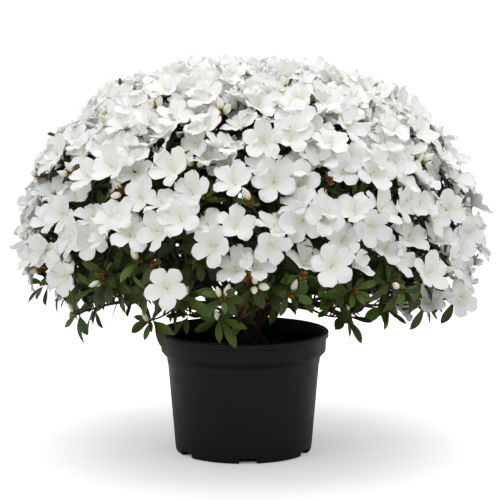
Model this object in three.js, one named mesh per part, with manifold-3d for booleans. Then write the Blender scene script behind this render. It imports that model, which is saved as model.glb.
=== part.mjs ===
// A white azalea in full bloom, grown as a low dome in a black nursery pot.
// Sizes are millimetres and angles are degrees. +Z is up, -Y is the front, and the origin is the middle of
// the pot's flat underside. A short trunk forks into six boughs and a top bough. Each bough carries side
// limbs, and each limb ends in one mass of twigs, leaves and blossom, which keeps to its own sector of the
// dome.

import * as THREE from "three";
import { mergeVertices } from "three/addons/utils/BufferGeometryUtils.js";
import Module from "manifold-3d";

const wasm = await Module();
wasm.setup();

const clearance = 0.3; // between two pieces that meet

const potSize = {
  height: 178,
  lipRadius: 125,
  lipHeight: 9,
  lipRound: 1.5,
  bandRadius: 121.5,
  bandFoot: 148, // height at which the band under the lip ends
  shoulderHeight: 140, // height at which the plain wall starts
  shoulderRadius: 112,
  ridgeHeight: 131, // fine ridge moulded round the wall
  ridgeProud: 0.9,
  baseRadius: 100,
  cornerRadius: 4,
  wall: 2.4,
  floor: 3,
  facets: 36,
  notches: 6,
  notchTurn: 4, // the first notch lies this far to the right of the front
  notchWidth: 26,
  notchHeight: 8,
  notchDepth: 17,
};

const soilSize = { edgeHeight: 156, middleHeight: 161, flatRadius: 45 };

const trunkSize = {
  footX: 12,
  footY: 0,
  lean: 5,
  height: 46,
  flareRadius: 25,
  radius: 14,
  topRadius: 10,
  sides: 14,
  steps: 8,
};

// The dome: an ellipsoid with one height above its widest level and another below it.
const dome = { centre: new THREE.Vector3(8, 0, 288), spread: 348, rise: 290, drop: 118 };

// How far the dome swells and dips, as shares of its reach: three and five waves round it, full shoulders
// half way up, and a fuller left side.
const swellSize = {
  threeWaves: 0.012,
  fiveWaves: 0.01,
  phases: [0.6, 2.1],
  shoulders: 0.02,
  fullerLeft: 0.025,
  most: 1.045,
};

// Each ring is a row of masses round the dome, between two elevations seen from its centre. Depth is how far
// below the dome's surface, as a share of its reach, a shoot may end. A core is half sizes round the dome and
// up it.
const rings = {
  top: { count: 1, turn: 0, low: 66, high: 90, blossom: 1, depth: 0, core: [120, 120] },
  shoulder: { count: 6, turn: 15, low: 28, high: 66, blossom: 1, depth: 0, core: [170, 130] },
  flank: { count: 6, turn: 45, low: -9, high: 28, blossom: 1, depth: 0, core: [210, 110] },
  skirt: { count: 6, turn: 15, low: -58, high: -9, blossom: 0.05, depth: 0.35 },
};
// How far out the cores lie, and half their depth, as shares of the dome's reach.
const coreDepth = { share: 0.79, half: 0.085, drawIn: 0.06 };

// Where a limb's tip lies on the dome, as a share of its reach and an elevation, its radii at both ends,
// where it leaves its parent, and how far it bows.
const limbSize = {
  top: { tipShare: 0.6, tipElevation: 90, radii: [7, 4], leaves: 0.9, bow: 8, sides: 7 },
  bough: { tipShare: 0.6, tipElevation: 47, radii: [6.2, 3.8], bow: 40, sides: 7 },
  flank: { tipShare: 0.6, tipElevation: 9, radii: [4.2, 3], leaves: 0.34, bow: 12, sides: 6 },
  skirt: { tipShare: 0.66, tipElevation: -40, radii: [3.4, 2.2], leaves: 0.15, bow: 8, sides: 6 },
};
const stemSize = { sides: 5, steps: 2, reach: 0.08 }; // how a mass's stem goes on from its limb
const boughLeaves = [0.34, 0.6]; // shares of the trunk's height where the boughs leave it, in turn
const limbSteps = 4;

// A rim is the outline of one lobe: how far round in the lobe a point lies, how far from the middle, and how
// high over the neck. The hub is the height of the middle over the neck.
const flowerSize = {
  lobes: 5,
  rim: [
    [0, 21, 22],
    [1 / 3, 31, 26],
    [2 / 3, 31, 26],
  ],
  hub: 12,
  vary: 0.1,
  depth: 26,
  spacing: 55,
  jitter: 7,
  lean: 0.45,
};
const whorlSize = {
  lobes: 5,
  rim: [
    [0, 3, 1],
    [0.26, 23, 0],
    [0.5, 40, -6],
    [0.74, 23, 0],
  ],
  hub: 6,
  vary: 0.3,
  spacing: 52,
  rise: 0.3,
};
const twigSize = { tipRadius: 1.3, growth: 0.36, forkShare: 0.5, stub: 6 };
const sectorMargin = 2.2;
const limbMargin = 3;
const limbSamples = 24;
const pathSteps = 10; // how finely a twig's path is looked along for limbs in its way
const bladeShares = [0.35, 0.7, 1]; // where a blade is looked at, from its neck to its rim
const tries = 1500;

// Geometry and solids

function toSolid(geometry) {
  const bare = new THREE.BufferGeometry();
  bare.setAttribute("position", geometry.getAttribute("position"));
  bare.setIndex(geometry.getIndex());
  const merged = mergeVertices(bare, 1e-3);
  return new wasm.Manifold(
    new wasm.Mesh({
      numProp: 3,
      vertProperties: merged.getAttribute("position").array,
      triVerts: new Uint32Array(merged.getIndex().array),
    }),
  );
}

function toGeometry(solid) {
  const mesh = solid.getMesh();
  const geometry = new THREE.BufferGeometry();
  geometry.setAttribute("position", new THREE.BufferAttribute(mesh.vertProperties, 3));
  geometry.setIndex(new THREE.BufferAttribute(mesh.triVerts, 1));
  geometry.computeVertexNormals();
  return geometry;
}

// The largest body of a solid: a scrap that hangs loose is dropped.
function largestBody(solid) {
  return solid.decompose().sort((a, b) => b.volume() - a.volume())[0];
}

// A repeatable stream of numbers from 0 to 1.
function seededRandom(seed) {
  let state = seed >>> 0;
  return () => {
    state = (Math.imul(state, 1664525) + 1013904223) >>> 0;
    return state / 4294967296;
  };
}

function radians(degrees) {
  return THREE.MathUtils.degToRad(degrees);
}

function degrees(angle) {
  return THREE.MathUtils.radToDeg(angle);
}

function pointsOf(geometry) {
  const place = geometry.getAttribute("position");
  return Array.from({ length: place.count }, (_, i) => new THREE.Vector3().fromBufferAttribute(place, i));
}

// Places on the dome

function domeHeight(elevation) {
  return elevation > 0 ? dome.rise : dome.drop;
}

function onDome(azimuth, elevation, share) {
  const level = dome.spread * share * Math.cos(radians(elevation));
  return new THREE.Vector3(
    level * Math.cos(radians(azimuth)),
    level * Math.sin(radians(azimuth)),
    domeHeight(elevation) * share * Math.sin(radians(elevation)),
  ).add(dome.centre);
}

// The direction that faces straight out of the dome at a point of its surface.
function outward(azimuth, elevation) {
  const level = Math.cos(radians(elevation)) / dome.spread;
  return new THREE.Vector3(
    level * Math.cos(radians(azimuth)),
    level * Math.sin(radians(azimuth)),
    Math.sin(radians(elevation)) / domeHeight(elevation),
  ).normalize();
}

function swell(azimuth, elevation) {
  const round = radians(azimuth);
  const { threeWaves, fiveWaves, phases, shoulders, fullerLeft } = swellSize;
  const waves = threeWaves * Math.sin(3 * round + phases[0]) + fiveWaves * Math.sin(5 * round + phases[1]);
  const halfWayUp = Math.sin(radians(2 * elevation));
  const fuller = shoulders * halfWayUp * halfWayUp - fullerLeft * Math.cos(round) * halfWayUp;
  return 1 + Math.cos(radians(elevation)) * waves + fuller;
}

function sectorOf(ringName, index) {
  const ring = rings[ringName];
  const width = 360 / ring.count;
  const aim = ring.count === 1 ? 90 : (ring.low + ring.high) / 2;
  return { ...ring, name: ringName, middle: ring.turn + index * width, halfWidth: width / 2, aim };
}

// Whether a point lies inside its sector of the dome, clear of the borders with the next ones.
function keepsToSector(sector, point) {
  const from = point.clone().sub(dome.centre);
  const height = domeHeight(from.z);
  const level = Math.hypot(from.x, from.y);
  const reach = Math.hypot(level / dome.spread, from.z / height);
  const azimuth = degrees(Math.atan2(from.y, from.x));
  const elevation = degrees(Math.atan2(from.z / height, level / dome.spread));
  const toBorder = (turn) => Math.sin(radians(turn)) * reach * height;
  if (reach > swell(azimuth, elevation) * swellSize.most) return false;
  if (toBorder(elevation - sector.low) < sectorMargin) return false;
  if (sector.count === 1) return true;
  if (toBorder(sector.high - elevation) < sectorMargin) return false;
  const turned = Math.abs(THREE.MathUtils.euclideanModulo(azimuth - sector.middle + 180, 360) - 180);
  return turned < sector.halfWidth && level * Math.sin(radians(sector.halfWidth - turned)) > sectorMargin;
}

// Pot and soil

function revolve(profile) {
  const points = profile.map(([radius, height]) => new THREE.Vector2(radius, height));
  return new THREE.LatheGeometry(points, potSize.facets).rotateX(Math.PI / 2);
}

// Radius of the pot's plain wall at a height.
function wallAt(height) {
  const { shoulderRadius, baseRadius, shoulderHeight } = potSize;
  return baseRadius + ((shoulderRadius - baseRadius) * height) / shoulderHeight;
}

function makePot() {
  const { height, lipRadius, lipHeight, lipRound, bandRadius, bandFoot, shoulderHeight } = potSize;
  const { ridgeHeight, ridgeProud, baseRadius, cornerRadius, wall, floor } = potSize;
  const body = toSolid(
    revolve([
      [0, 0],
      [baseRadius - cornerRadius, 0],
      [wallAt(cornerRadius), cornerRadius],
      [wallAt(ridgeHeight), ridgeHeight],
      [wallAt(ridgeHeight) + ridgeProud, ridgeHeight + 1],
      [wallAt(shoulderHeight) + ridgeProud, shoulderHeight],
      [bandRadius - 1, bandFoot],
      [bandRadius, height - lipHeight],
      [lipRadius, height - lipHeight + lipRound],
      [lipRadius, height - lipRound],
      [lipRadius - lipRound, height],
      [bandRadius - wall, height],
      [bandRadius - wall - 1, bandFoot + wall],
      [wallAt(shoulderHeight) - wall, shoulderHeight + wall],
      [wallAt(floor) - wall, floor],
      [0, floor],
    ]),
  );
  const notch = new THREE.BoxGeometry(potSize.notchWidth, potSize.notchDepth * 2, potSize.notchHeight * 2);
  const notches = [];
  for (let i = 0; i < potSize.notches; i++) {
    const turn = radians(potSize.notchTurn + (i * 360) / potSize.notches);
    notches.push(toSolid(notch.clone().translate(0, -baseRadius, 0).rotateZ(turn)));
  }
  return body.subtract(wasm.Manifold.union(notches));
}

function makeSoil() {
  const { bandRadius, bandFoot, shoulderHeight, baseRadius } = potSize;
  const { notchDepth, notchHeight, wall, floor } = potSize;
  const { edgeHeight, middleHeight, flatRadius } = soilSize;
  const inset = wall + clearance;
  const foot = floor + clearance;
  return toSolid(
    revolve([
      [0, foot],
      [baseRadius - notchDepth - clearance, foot],
      [baseRadius - notchDepth - clearance, notchHeight + clearance],
      [wallAt(notchHeight) - inset, notchHeight + clearance],
      [wallAt(shoulderHeight) - inset, shoulderHeight + wall + clearance],
      [bandRadius - 1 - inset, bandFoot + wall + clearance],
      [bandRadius - 1 - inset, edgeHeight],
      [flatRadius, middleHeight],
      [0, middleHeight],
    ]),
  );
}

// Trunk and limbs

// A round limb along a curve: a cylinder whose rings are moved onto the curve, each with its own radius.
function limb(curve, radiusAt, sides, steps) {
  const frames = curve.computeFrenetFrames(steps);
  const shape = new THREE.CylinderGeometry(1, 1, 1, sides, steps);
  const place = shape.getAttribute("position");
  for (let i = 0; i < place.count; i++) {
    const along = THREE.MathUtils.clamp(place.getY(i) + 0.5, 0, 1);
    const ring = Math.round(along * steps);
    const point = curve.getPointAt(along);
    point.addScaledVector(frames.binormals[ring], place.getX(i) * radiusAt(along));
    point.addScaledVector(frames.normals[ring], place.getZ(i) * radiusAt(along));
    place.setXYZ(i, point.x, point.y, point.z);
  }
  return shape;
}

// The trunk's middle line, from just above the soil, with some length to spare past its top.
function trunkCurve(spare) {
  const { footX, footY, lean, height } = trunkSize;
  const foot = soilSize.middleHeight + clearance;
  return new THREE.QuadraticBezierCurve3(
    new THREE.Vector3(footX, footY, foot),
    new THREE.Vector3(footX, footY, foot + height / 2),
    new THREE.Vector3(footX - lean, footY, foot + height + spare),
  );
}

// The flare at the soil dies away in the first third of the trunk.
function trunkRadius(along) {
  const { flareRadius, radius, topRadius } = trunkSize;
  const flare = Math.pow(Math.max(0, 1 - along * 3), 2);
  return THREE.MathUtils.lerp(radius, topRadius, along) + (flareRadius - radius) * flare;
}

function limbRadius(size, along) {
  return THREE.MathUtils.lerp(...size.radii, along);
}

// A limb from a point on its parent's middle line to its tip on the inner side of its mass.
function layOutLimb(name, start, azimuth, size, bow) {
  const tip = onDome(azimuth, size.tipElevation, size.tipShare);
  const curve = new THREE.QuadraticBezierCurve3(start, start.clone().lerp(tip, 0.5).add(bow), tip);
  const radiusAt = (i) => limbRadius(size, i / limbSamples);
  const samples = curve.getSpacedPoints(limbSamples).map((centre, i) => [centre, radiusAt(i)]);
  return { name, curve, size, samples };
}

function layOutLimbs() {
  const trunk = trunkCurve(0);
  const { top, bough, flank, skirt } = limbSize;
  const topBow = new THREE.Vector3(-top.bow, top.bow, 0);
  const limbs = [layOutLimb("top", trunk.getPointAt(top.leaves), 0, top, topBow)];
  for (let i = 0; i < rings.shoulder.count; i++) {
    const azimuth = sectorOf("shoulder", i).middle;
    const start = trunk.getPointAt(boughLeaves[i % boughLeaves.length]);
    const out = outward(azimuth, 0).multiplyScalar(bough.bow);
    const carrier = layOutLimb(`shoulder_${i + 1}`, start, azimuth, bough, out);
    limbs.push(carrier);
    for (const [ringName, size] of Object.entries({ flank, skirt })) {
      const from = carrier.curve.getPointAt(size.leaves);
      const sag = new THREE.Vector3(0, 0, -size.bow);
      limbs.push(layOutLimb(`${ringName}_${i + 1}`, from, sectorOf(ringName, i).middle, size, sag));
    }
  }
  return limbs;
}

// Shoots

// A shoot in one closed piece: a three-sided twig along a path, and at its neck a rim of lobes round a hub.
// A flower's hub is sunk below its rim, and a whorl of leaves has its hub on top. The corners of the twig
// follow it back from the neck without a twist, so the way the rim is turned does not hang on the path.
function makeShoot(path, radii, shoot) {
  const { size, axis, spin, lobeScales } = shoot;
  const neck = path[path.length - 1];
  const headings = path.slice(1).map((point, i) => point.clone().sub(path[i]).normalize());
  headings.push(axis);
  const around = (centre, heading, side, reach, share) =>
    centre.clone().addScaledVector(side.clone().applyAxisAngle(heading, share * 2 * Math.PI), reach);
  const side = new THREE.Vector3(1, 0, 0).cross(axis).normalize().applyAxisAngle(axis, spin);
  const rimPoints = lobeScales.flatMap((scale, lobe) =>
    size.rim.map(([place, reach, height]) => {
      const centre = neck.clone().addScaledVector(axis, height);
      return around(centre, axis, side, reach * scale, (lobe + place) / size.lobes);
    }),
  );
  const rings = [];
  for (let ring = path.length - 1; ring >= 0; ring--) {
    const before = headings[Math.max(0, ring - 1)];
    const bend = before.clone().add(headings[ring]).normalize();
    side.applyQuaternion(new THREE.Quaternion().setFromUnitVectors(headings[ring], bend));
    rings.unshift([0, 1, 2].map((i) => around(path[ring], bend, side, radii[ring], i / 3)));
    side.applyQuaternion(new THREE.Quaternion().setFromUnitVectors(bend, before));
  }
  const points = [...rings.flat(), ...rimPoints, neck.clone().addScaledVector(axis, size.hub)];

  const rimStart = rings.length * 3;
  const hub = points.length - 1;
  const faces = [0, 2, 1];
  for (let i = 0; i < rimStart - 3; i++) {
    const next = i % 3 === 2 ? i - 2 : i + 1;
    faces.push(i, next, next + 3, i, next + 3, i + 3);
  }
  const nearestCorner = (step) => rimStart - 3 + (Math.round((step * 3) / rimPoints.length) % 3);
  for (let i = 0; i < rimPoints.length; i++) {
    const next = rimStart + ((i + 1) % rimPoints.length);
    const corner = nearestCorner(i + 0.5);
    const before = i > 0 ? nearestCorner(i - 0.5) : corner;
    faces.push(corner, next, rimStart + i, hub, rimStart + i, next);
    if (before !== corner) faces.push(before, corner, rimStart + i);
  }
  return new THREE.BufferGeometry().setFromPoints(points).setIndex(faces);
}

// A flowering shoot looks out of the dome and sways a little to one side.
function dressFlower(tip, out, random) {
  const { depth, jitter, lean } = flowerSize;
  const sway = new THREE.Vector3(random() - 0.5, random() - 0.5, random() * 0.6 - 0.1);
  const axis = out.clone().addScaledVector(sway, lean).normalize();
  const foot = tip.clone().addScaledVector(axis, -depth - random() * jitter);
  return { tip, foot, axis, size: flowerSize };
}

// A leafy shoot: a whorl of leaves that looks outwards and a little up.
function dressWhorl(tip, out) {
  const axis = out.clone();
  axis.z = Math.abs(axis.z) * whorlSize.rise + whorlSize.rise;
  return { tip, foot: tip.clone(), axis: axis.normalize(), size: whorlSize };
}

// Points all over the blades of a shoot, from its neck to its rim.
function pointsOver(shoot) {
  const stub = [shoot.foot.clone().addScaledVector(shoot.axis, -twigSize.stub), shoot.foot];
  const outline = pointsOf(makeShoot(stub, [1, 1], shoot));
  return bladeShares.flatMap((share) => outline.map((point) => shoot.foot.clone().lerp(point, share)));
}

// The shoots of a mass, spread over its sector by chance. One that does not fit, or that comes closer to
// another than its spacing, is left out.
function scatterShoots(sector, isFree, random) {
  const lowSine = Math.sin(radians(sector.low));
  const highSine = Math.sin(radians(sector.high));
  const shoots = [];
  for (let i = 0; i < tries; i++) {
    const azimuth = sector.middle + (random() * 2 - 1) * sector.halfWidth;
    const elevation = degrees(Math.asin(lowSine + (highSine - lowSine) * random()));
    const share = swell(azimuth, elevation) * (1 - sector.depth * random());
    const tip = onDome(azimuth, elevation, share);
    const dress = random() < sector.blossom ? dressFlower : dressWhorl;
    const shoot = dress(tip, outward(azimuth, elevation), random);
    const { lobes, vary } = shoot.size;
    shoot.spin = random() * 2 * Math.PI;
    shoot.lobeScales = Array.from({ length: lobes }, () => 1 + (random() - 0.5) * vary);
    const crowded = shoots.some((other) => other.tip.distanceTo(tip) < shoot.size.spacing);
    if (!crowded && pointsOver(shoot).every(isFree)) shoots.push(shoot);
  }
  return shoots;
}

function middleOf(shoots) {
  const middle = new THREE.Vector3();
  shoots.forEach((shoot) => middle.addScaledVector(shoot.foot, 1 / shoots.length));
  return middle;
}

// Halves the shoots across the direction in which they spread widest.
function halve(shoots) {
  const spanOf = (key) => {
    const places = shoots.map((shoot) => shoot.foot[key]);
    return Math.max(...places) - Math.min(...places);
  };
  const widest = ["x", "y", "z"].sort((a, b) => spanOf(b) - spanOf(a))[0];
  const sorted = [...shoots].sort((a, b) => a.foot[widest] - b.foot[widest]);
  const half = Math.ceil(sorted.length / 2);
  return [sorted.slice(0, half), sorted.slice(half)];
}

// The twigs of a mass. A twig runs towards the middle of the shoots that it carries and forks on the way: the
// half that lies straighter ahead goes on with it, the other half starts a twig of its own, and so on to the
// last shoot. Twigs thicken with the number of shoots they carry. One that would not fit is skipped, and the
// others do without.
function growTwigs(from, shoots, isFree, pieces) {
  const { tipRadius, growth, forkShare } = twigSize;
  const path = [from];
  const radii = [];
  const sides = [];
  let carried = shoots;
  while (carried.length > 1) {
    const start = path[path.length - 1];
    const fork = start.clone().lerp(middleOf(carried), forkShare);
    const heading = fork.clone().sub(start).normalize();
    const ahead = (half) => middleOf(half).sub(fork).normalize().dot(heading);
    const [straight, aside] = halve(carried).sort((a, b) => ahead(b) - ahead(a));
    radii.push(tipRadius * Math.pow(carried.length, growth));
    path.push(fork);
    sides.push([fork, aside]);
    carried = straight;
  }
  path.push(carried[0].foot);
  radii.push(tipRadius, tipRadius);
  const twig = makeShoot(path, radii, carried[0]);
  const steps = Array.from({ length: pathSteps }, (_, i) => i / pathSteps);
  const alongLeg = (start, end) => steps.map((share) => start.clone().lerp(end, share));
  const onPath = path.slice(1).flatMap((point, i) => alongLeg(path[i], point));
  if (![...onPath, ...pointsOf(twig)].every(isFree)) {
    const others = shoots.filter((shoot) => shoot !== carried[0]);
    if (others.length > 0) growTwigs(from, others, isFree, pieces);
    return;
  }
  pieces.push(twig);
  sides.forEach(([fork, aside]) => growTwigs(fork, aside, isFree, pieces));
}

// The dark inner leafage of a dense mass, which its shoots stand out of: a flattened ball that is bent to
// follow the dome, with its corners drawn in to the sector.
function makeCore(sector) {
  const [around, up] = sector.core;
  const round = radians(sector.middle);
  const axis = outward(sector.middle, sector.aim);
  const sideways = new THREE.Vector3(-Math.sin(round), Math.cos(round), 0);
  const upwards = axis.clone().cross(sideways);
  const centre = onDome(sector.middle, sector.aim, coreDepth.share);
  const core = new THREE.IcosahedronGeometry(1, 1);
  const place = core.getAttribute("position");
  pointsOf(core).forEach((unit, i) => {
    const point = centre.clone().addScaledVector(sideways, unit.x * around);
    const from = point.addScaledVector(upwards, unit.y * up).sub(dome.centre);
    const share = Math.hypot(Math.hypot(from.x, from.y) / dome.spread, from.z / domeHeight(from.z));
    from.multiplyScalar((coreDepth.share + unit.z * coreDepth.half) / share).add(dome.centre);
    while (!keepsToSector(sector, from)) from.lerp(centre, coreDepth.drawIn);
    place.setXYZ(i, from.x, from.y, from.z);
  });
  return core;
}

function makeMass(sector, carrier, limbs, random) {
  const samples = limbs.flatMap((other) => other.samples);
  const nearLimb = (point) =>
    samples.some(([centre, radius]) => centre.distanceTo(point) < radius + limbMargin);
  const isFree = (point) => keepsToSector(sector, point) && !nearLimb(point);
  const heading = carrier.curve.getTangentAt(1);
  const stemFoot = carrier.curve.getPointAt(1).addScaledVector(heading, clearance);
  const stemShare = sector.core ? coreDepth.share : carrier.size.tipShare + stemSize.reach;
  const stemEnd = onDome(sector.middle, sector.aim, stemShare);
  const stemCurve = new THREE.QuadraticBezierCurve3(
    stemFoot,
    stemFoot.clone().addScaledVector(heading, stemFoot.distanceTo(stemEnd) / 2),
    stemEnd,
  );
  const stemRadius = carrier.size.radii[1];
  const pieces = [limb(stemCurve, () => stemRadius, stemSize.sides, stemSize.steps)];
  if (sector.core) pieces.push(makeCore(sector));
  growTwigs(stemEnd, scatterShoots(sector, isFree, random), isFree, pieces);
  return largestBody(wasm.Manifold.union(pieces.map(toSolid)));
}

// The whole plant

const materials = {
  pot: { color: 0x1f1f1f, roughness: 0.4, metalness: 0 },
  soil: { color: 0x1a100a, roughness: 0.95, metalness: 0 },
  bark: { color: 0x4a3529, roughness: 0.85, metalness: 0 },
  blossom: { color: 0xe9e9df, roughness: 0.6, metalness: 0 },
  leafage: { color: 0x2b3a17, roughness: 0.5, metalness: 0 },
};

const azalea = new THREE.Group();

function addPiece(name, solid, look) {
  const mesh = new THREE.Mesh(toGeometry(solid), new THREE.MeshStandardMaterial(materials[look]));
  mesh.name = name;
  azalea.add(mesh);
}

addPiece("pot", makePot(), "pot");
addPiece("soil", makeSoil(), "soil");

// Each limb is cut back from the trunk and from the limbs that leave it earlier, by the clearance.
const trunkSolid = (spare) => {
  const { sides, steps } = trunkSize;
  return toSolid(limb(trunkCurve(spare), (along) => trunkRadius(along) + spare, sides, steps));
};
const limbSolid = ({ curve, size }, spare) =>
  toSolid(limb(curve, (along) => limbRadius(size, along) + spare, size.sides, limbSteps));

addPiece("trunk", trunkSolid(0), "bark");
const taken = [trunkSolid(clearance)];
const limbs = layOutLimbs();
limbs.forEach((each) => {
  const free = limbSolid(each, 0).subtract(wasm.Manifold.union(taken));
  addPiece(`${each.name}_bough`, largestBody(free), "bark");
  taken.push(limbSolid(each, clearance));
});

let seed = 1;
for (const [ringName, ring] of Object.entries(rings)) {
  for (let i = 0; i < ring.count; i++) {
    const name = ring.count === 1 ? ringName : `${ringName}_${i + 1}`;
    const carrier = limbs.find((each) => each.name === name);
    const mass = makeMass(sectorOf(ringName, i), carrier, limbs, seededRandom(seed));
    addPiece(`${name}_mass`, mass, ring.core ? "blossom" : "leafage");
    seed += 1;
  }
}

export default azalea;
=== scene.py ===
import math
import bpy
import numpy as np
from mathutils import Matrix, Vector, noise


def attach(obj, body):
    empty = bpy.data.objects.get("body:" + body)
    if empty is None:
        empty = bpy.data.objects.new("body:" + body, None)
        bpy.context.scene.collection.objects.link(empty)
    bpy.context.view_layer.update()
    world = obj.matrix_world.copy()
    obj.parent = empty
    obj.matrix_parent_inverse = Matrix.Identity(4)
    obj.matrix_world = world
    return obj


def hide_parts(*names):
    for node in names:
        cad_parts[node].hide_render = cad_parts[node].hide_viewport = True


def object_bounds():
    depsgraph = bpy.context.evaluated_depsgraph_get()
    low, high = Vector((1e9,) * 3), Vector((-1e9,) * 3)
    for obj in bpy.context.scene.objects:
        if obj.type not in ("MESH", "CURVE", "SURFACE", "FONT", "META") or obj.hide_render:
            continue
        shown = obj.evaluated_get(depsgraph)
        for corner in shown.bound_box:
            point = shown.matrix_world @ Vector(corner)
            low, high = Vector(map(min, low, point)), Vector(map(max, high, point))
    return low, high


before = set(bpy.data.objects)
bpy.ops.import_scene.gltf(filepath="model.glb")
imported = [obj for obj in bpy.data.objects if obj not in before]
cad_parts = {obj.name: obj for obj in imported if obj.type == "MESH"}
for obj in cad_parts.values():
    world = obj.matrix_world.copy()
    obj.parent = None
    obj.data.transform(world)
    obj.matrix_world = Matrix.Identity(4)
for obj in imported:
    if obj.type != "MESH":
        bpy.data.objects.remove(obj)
cadLow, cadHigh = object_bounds()
print("frame loaded,", len(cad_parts), "nodes")

# A white azalea in a black nursery pot. Lengths are metres, angles degrees unless a name says turn.
up = np.array([0.0, 0.0, 1.0])
wholeTurn = 2 * math.pi
spiralTurn = 2.39996  # from one leaf of a spiral to the next


def makeDraws(seed):
    # the same stream of numbers from 0 to 1 that the solids are grown with
    state = [seed]

    def draw(low=0.0, high=1.0):
        state[0] = (state[0] * 1664525 + 1013904223) % 4294967296
        return low + (high - low) * state[0] / 4294967296

    return draw


def pick(draw, options):
    # an option by its weight
    level = draw(0, sum(options.values()))
    for option, weight in options.items():
        level -= weight
        if level < 0:
            return option
    return option


def anyOf(draw, forms):
    return forms[int(draw(0, len(forms)))]


def unit(vector):
    return vector / (np.linalg.norm(vector) + 1e-12)


def mixed(a, b, share):
    return a + (b - a) * share


def ramped(value, start, span):
    # climbs from 0 to 1 over a span
    return np.clip((value - start) / span, 0, 1)


def anySide(axis):
    # a direction square to the axis
    spare = np.array([1.0, 0.0, 0.0]) if abs(axis[0]) < 0.9 else up
    return unit(np.cross(spare, axis))


def turned(side, axis, turn):
    return side * math.cos(turn) + np.cross(axis, side) * math.sin(turn)


def tilted(axis, around, turn):
    # the axis tipped over to a side
    return axis * math.cos(turn) + around * math.sin(turn)


def anyAround(axis, draw):
    return turned(anySide(axis), axis, draw(0, 6.28))


def turnsRound(sides):
    return np.arange(sides) / sides * wholeTurn


def nearest(spots, point):
    # how far off the nearest spot is
    return np.linalg.norm(np.array(spots) - point, axis=1).min()


# Shader groups and the materials of flowers, leaves and twigs

def feed(tree, node, inputs):
    # numbers and colours are set on a node's sockets, and outputs of other nodes are linked to them
    for label, value in inputs.items():
        if isinstance(value, bpy.types.NodeSocket):
            tree.links.new(value, node.inputs[label])
        else:
            node.inputs[label].default_value = value
    return node


def addNode(tree, kind, inputs=None, **settings):
    node = tree.nodes.new("ShaderNode" + kind)
    for label, value in settings.items():
        setattr(node, label, value)
    return feed(tree, node, inputs or {})


def addMath(tree, operation, a, b):
    return addNode(tree, "Math", {0: a, 1: b}, operation=operation).outputs[0]


def newGroup(name, inputs, output):
    tree = bpy.data.node_groups.new(name, "ShaderNodeTree")
    for label, value in inputs.items():
        socket = tree.interface.new_socket(name=label, in_out="INPUT", socket_type="NodeSocketFloat")
        socket.default_value = value
    tree.interface.new_socket(name=output, in_out="OUTPUT", socket_type="NodeSocketFloat")
    return tree, tree.nodes.new("NodeGroupInput").outputs, tree.nodes.new("NodeGroupOutput")


def makePatches():
    # soft patches all over a piece, between a low and a high value
    tree, given, result = newGroup("patches", {"Scale": 80.0, "Detail": 4.0, "Low": 0.3, "High": 0.6}, "Value")
    place = addNode(tree, "TexCoord").outputs["Object"]
    cloud = addNode(tree, "TexNoise", {"Vector": place, "Scale": given["Scale"], "Detail": given["Detail"]})
    spread = addNode(tree, "MapRange", {
        "Value": cloud.outputs[0], "From Min": 0.3, "From Max": 0.7,
        "To Min": given["Low"], "To Max": given["High"]})
    feed(tree, result, {"Value": spread.outputs["Result"]})
    return tree


def makeVeins():
    # veins that run along a blade, and slant off its middle
    values = {"Across": 9.0, "Lengthwise": 0.0, "Slant": 0.0, "Midrib": 0.5}
    tree, given, result = newGroup("veins", values, "Height")
    place = addNode(tree, "SeparateXYZ", {0: addNode(tree, "TexCoord").outputs["UV"]}).outputs
    fromMiddle = addMath(tree, "ABSOLUTE", addMath(tree, "SUBTRACT", place["X"], 0.5), 0)
    lines = addMath(tree, "MULTIPLY", place["X"], given["Across"])
    rungs = addMath(tree, "MULTIPLY", place["Y"], given["Lengthwise"])
    slanted = addMath(tree, "MULTIPLY", fromMiddle, given["Slant"])
    phase = addMath(tree, "ADD", addMath(tree, "ADD", lines, rungs), slanted)
    offMidrib = addMath(tree, "MINIMUM", addMath(tree, "MULTIPLY", fromMiddle, 9), 1)
    groove = addMath(tree, "MULTIPLY", offMidrib, given["Midrib"])
    feed(tree, result, {"Height": addMath(tree, "ADD", addMath(tree, "PINGPONG", phase, 0.5), groove)})
    return tree


patchesGroup, veinsGroup = makePatches(), makeVeins()


def patches(tree, scale, low, high, detail=4):
    values = {"Scale": scale, "Detail": detail, "Low": low, "High": high}
    return addNode(tree, "Group", values, node_tree=patchesGroup).outputs["Value"]


def newMaterial(name, colour, roughness=0.5, specular=0.5):
    material = bpy.data.materials.new(name)
    material.use_nodes = True
    material.diffuse_color = (*colour, 1)
    tree = material.node_tree
    shader = feed(tree, tree.nodes["Principled BSDF"], {
        "Base Color": (*colour, 1), "Roughness": roughness, "Specular IOR Level": specular})
    return material, tree, shader


def addBump(tree, shader, height, strength, distance):
    bump = addNode(tree, "Bump", {"Height": height, "Strength": strength, "Distance": distance})
    feed(tree, shader, {"Normal": bump.outputs["Normal"]})


def addRamp(tree, value, stops):
    # a colour ramp from the places and colours of its stops
    ramp = addNode(tree, "ValToRGB", {"Fac": value})
    elements = ramp.color_ramp.elements
    for i, (place, colour) in enumerate(stops.items()):
        stop = elements[i] if i < 2 else elements.new(place)
        stop.position, stop.color = place, (*colour, 1)
    return ramp.outputs["Color"]


def blade(name, colour, finish):
    # a petal, leaf or twig: a plain tint, with patches in its gloss and fine veins
    material, tree, shader = newMaterial(name, colour, specular=finish["specular"])
    feed(tree, shader, {"Roughness": patches(tree, finish["patch"], finish["low"], finish["high"])})
    veins = addNode(tree, "Group", finish["veins"], node_tree=veinsGroup)
    addBump(tree, shader, veins.outputs["Height"], finish["strength"], finish["relief"])
    return material


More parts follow.
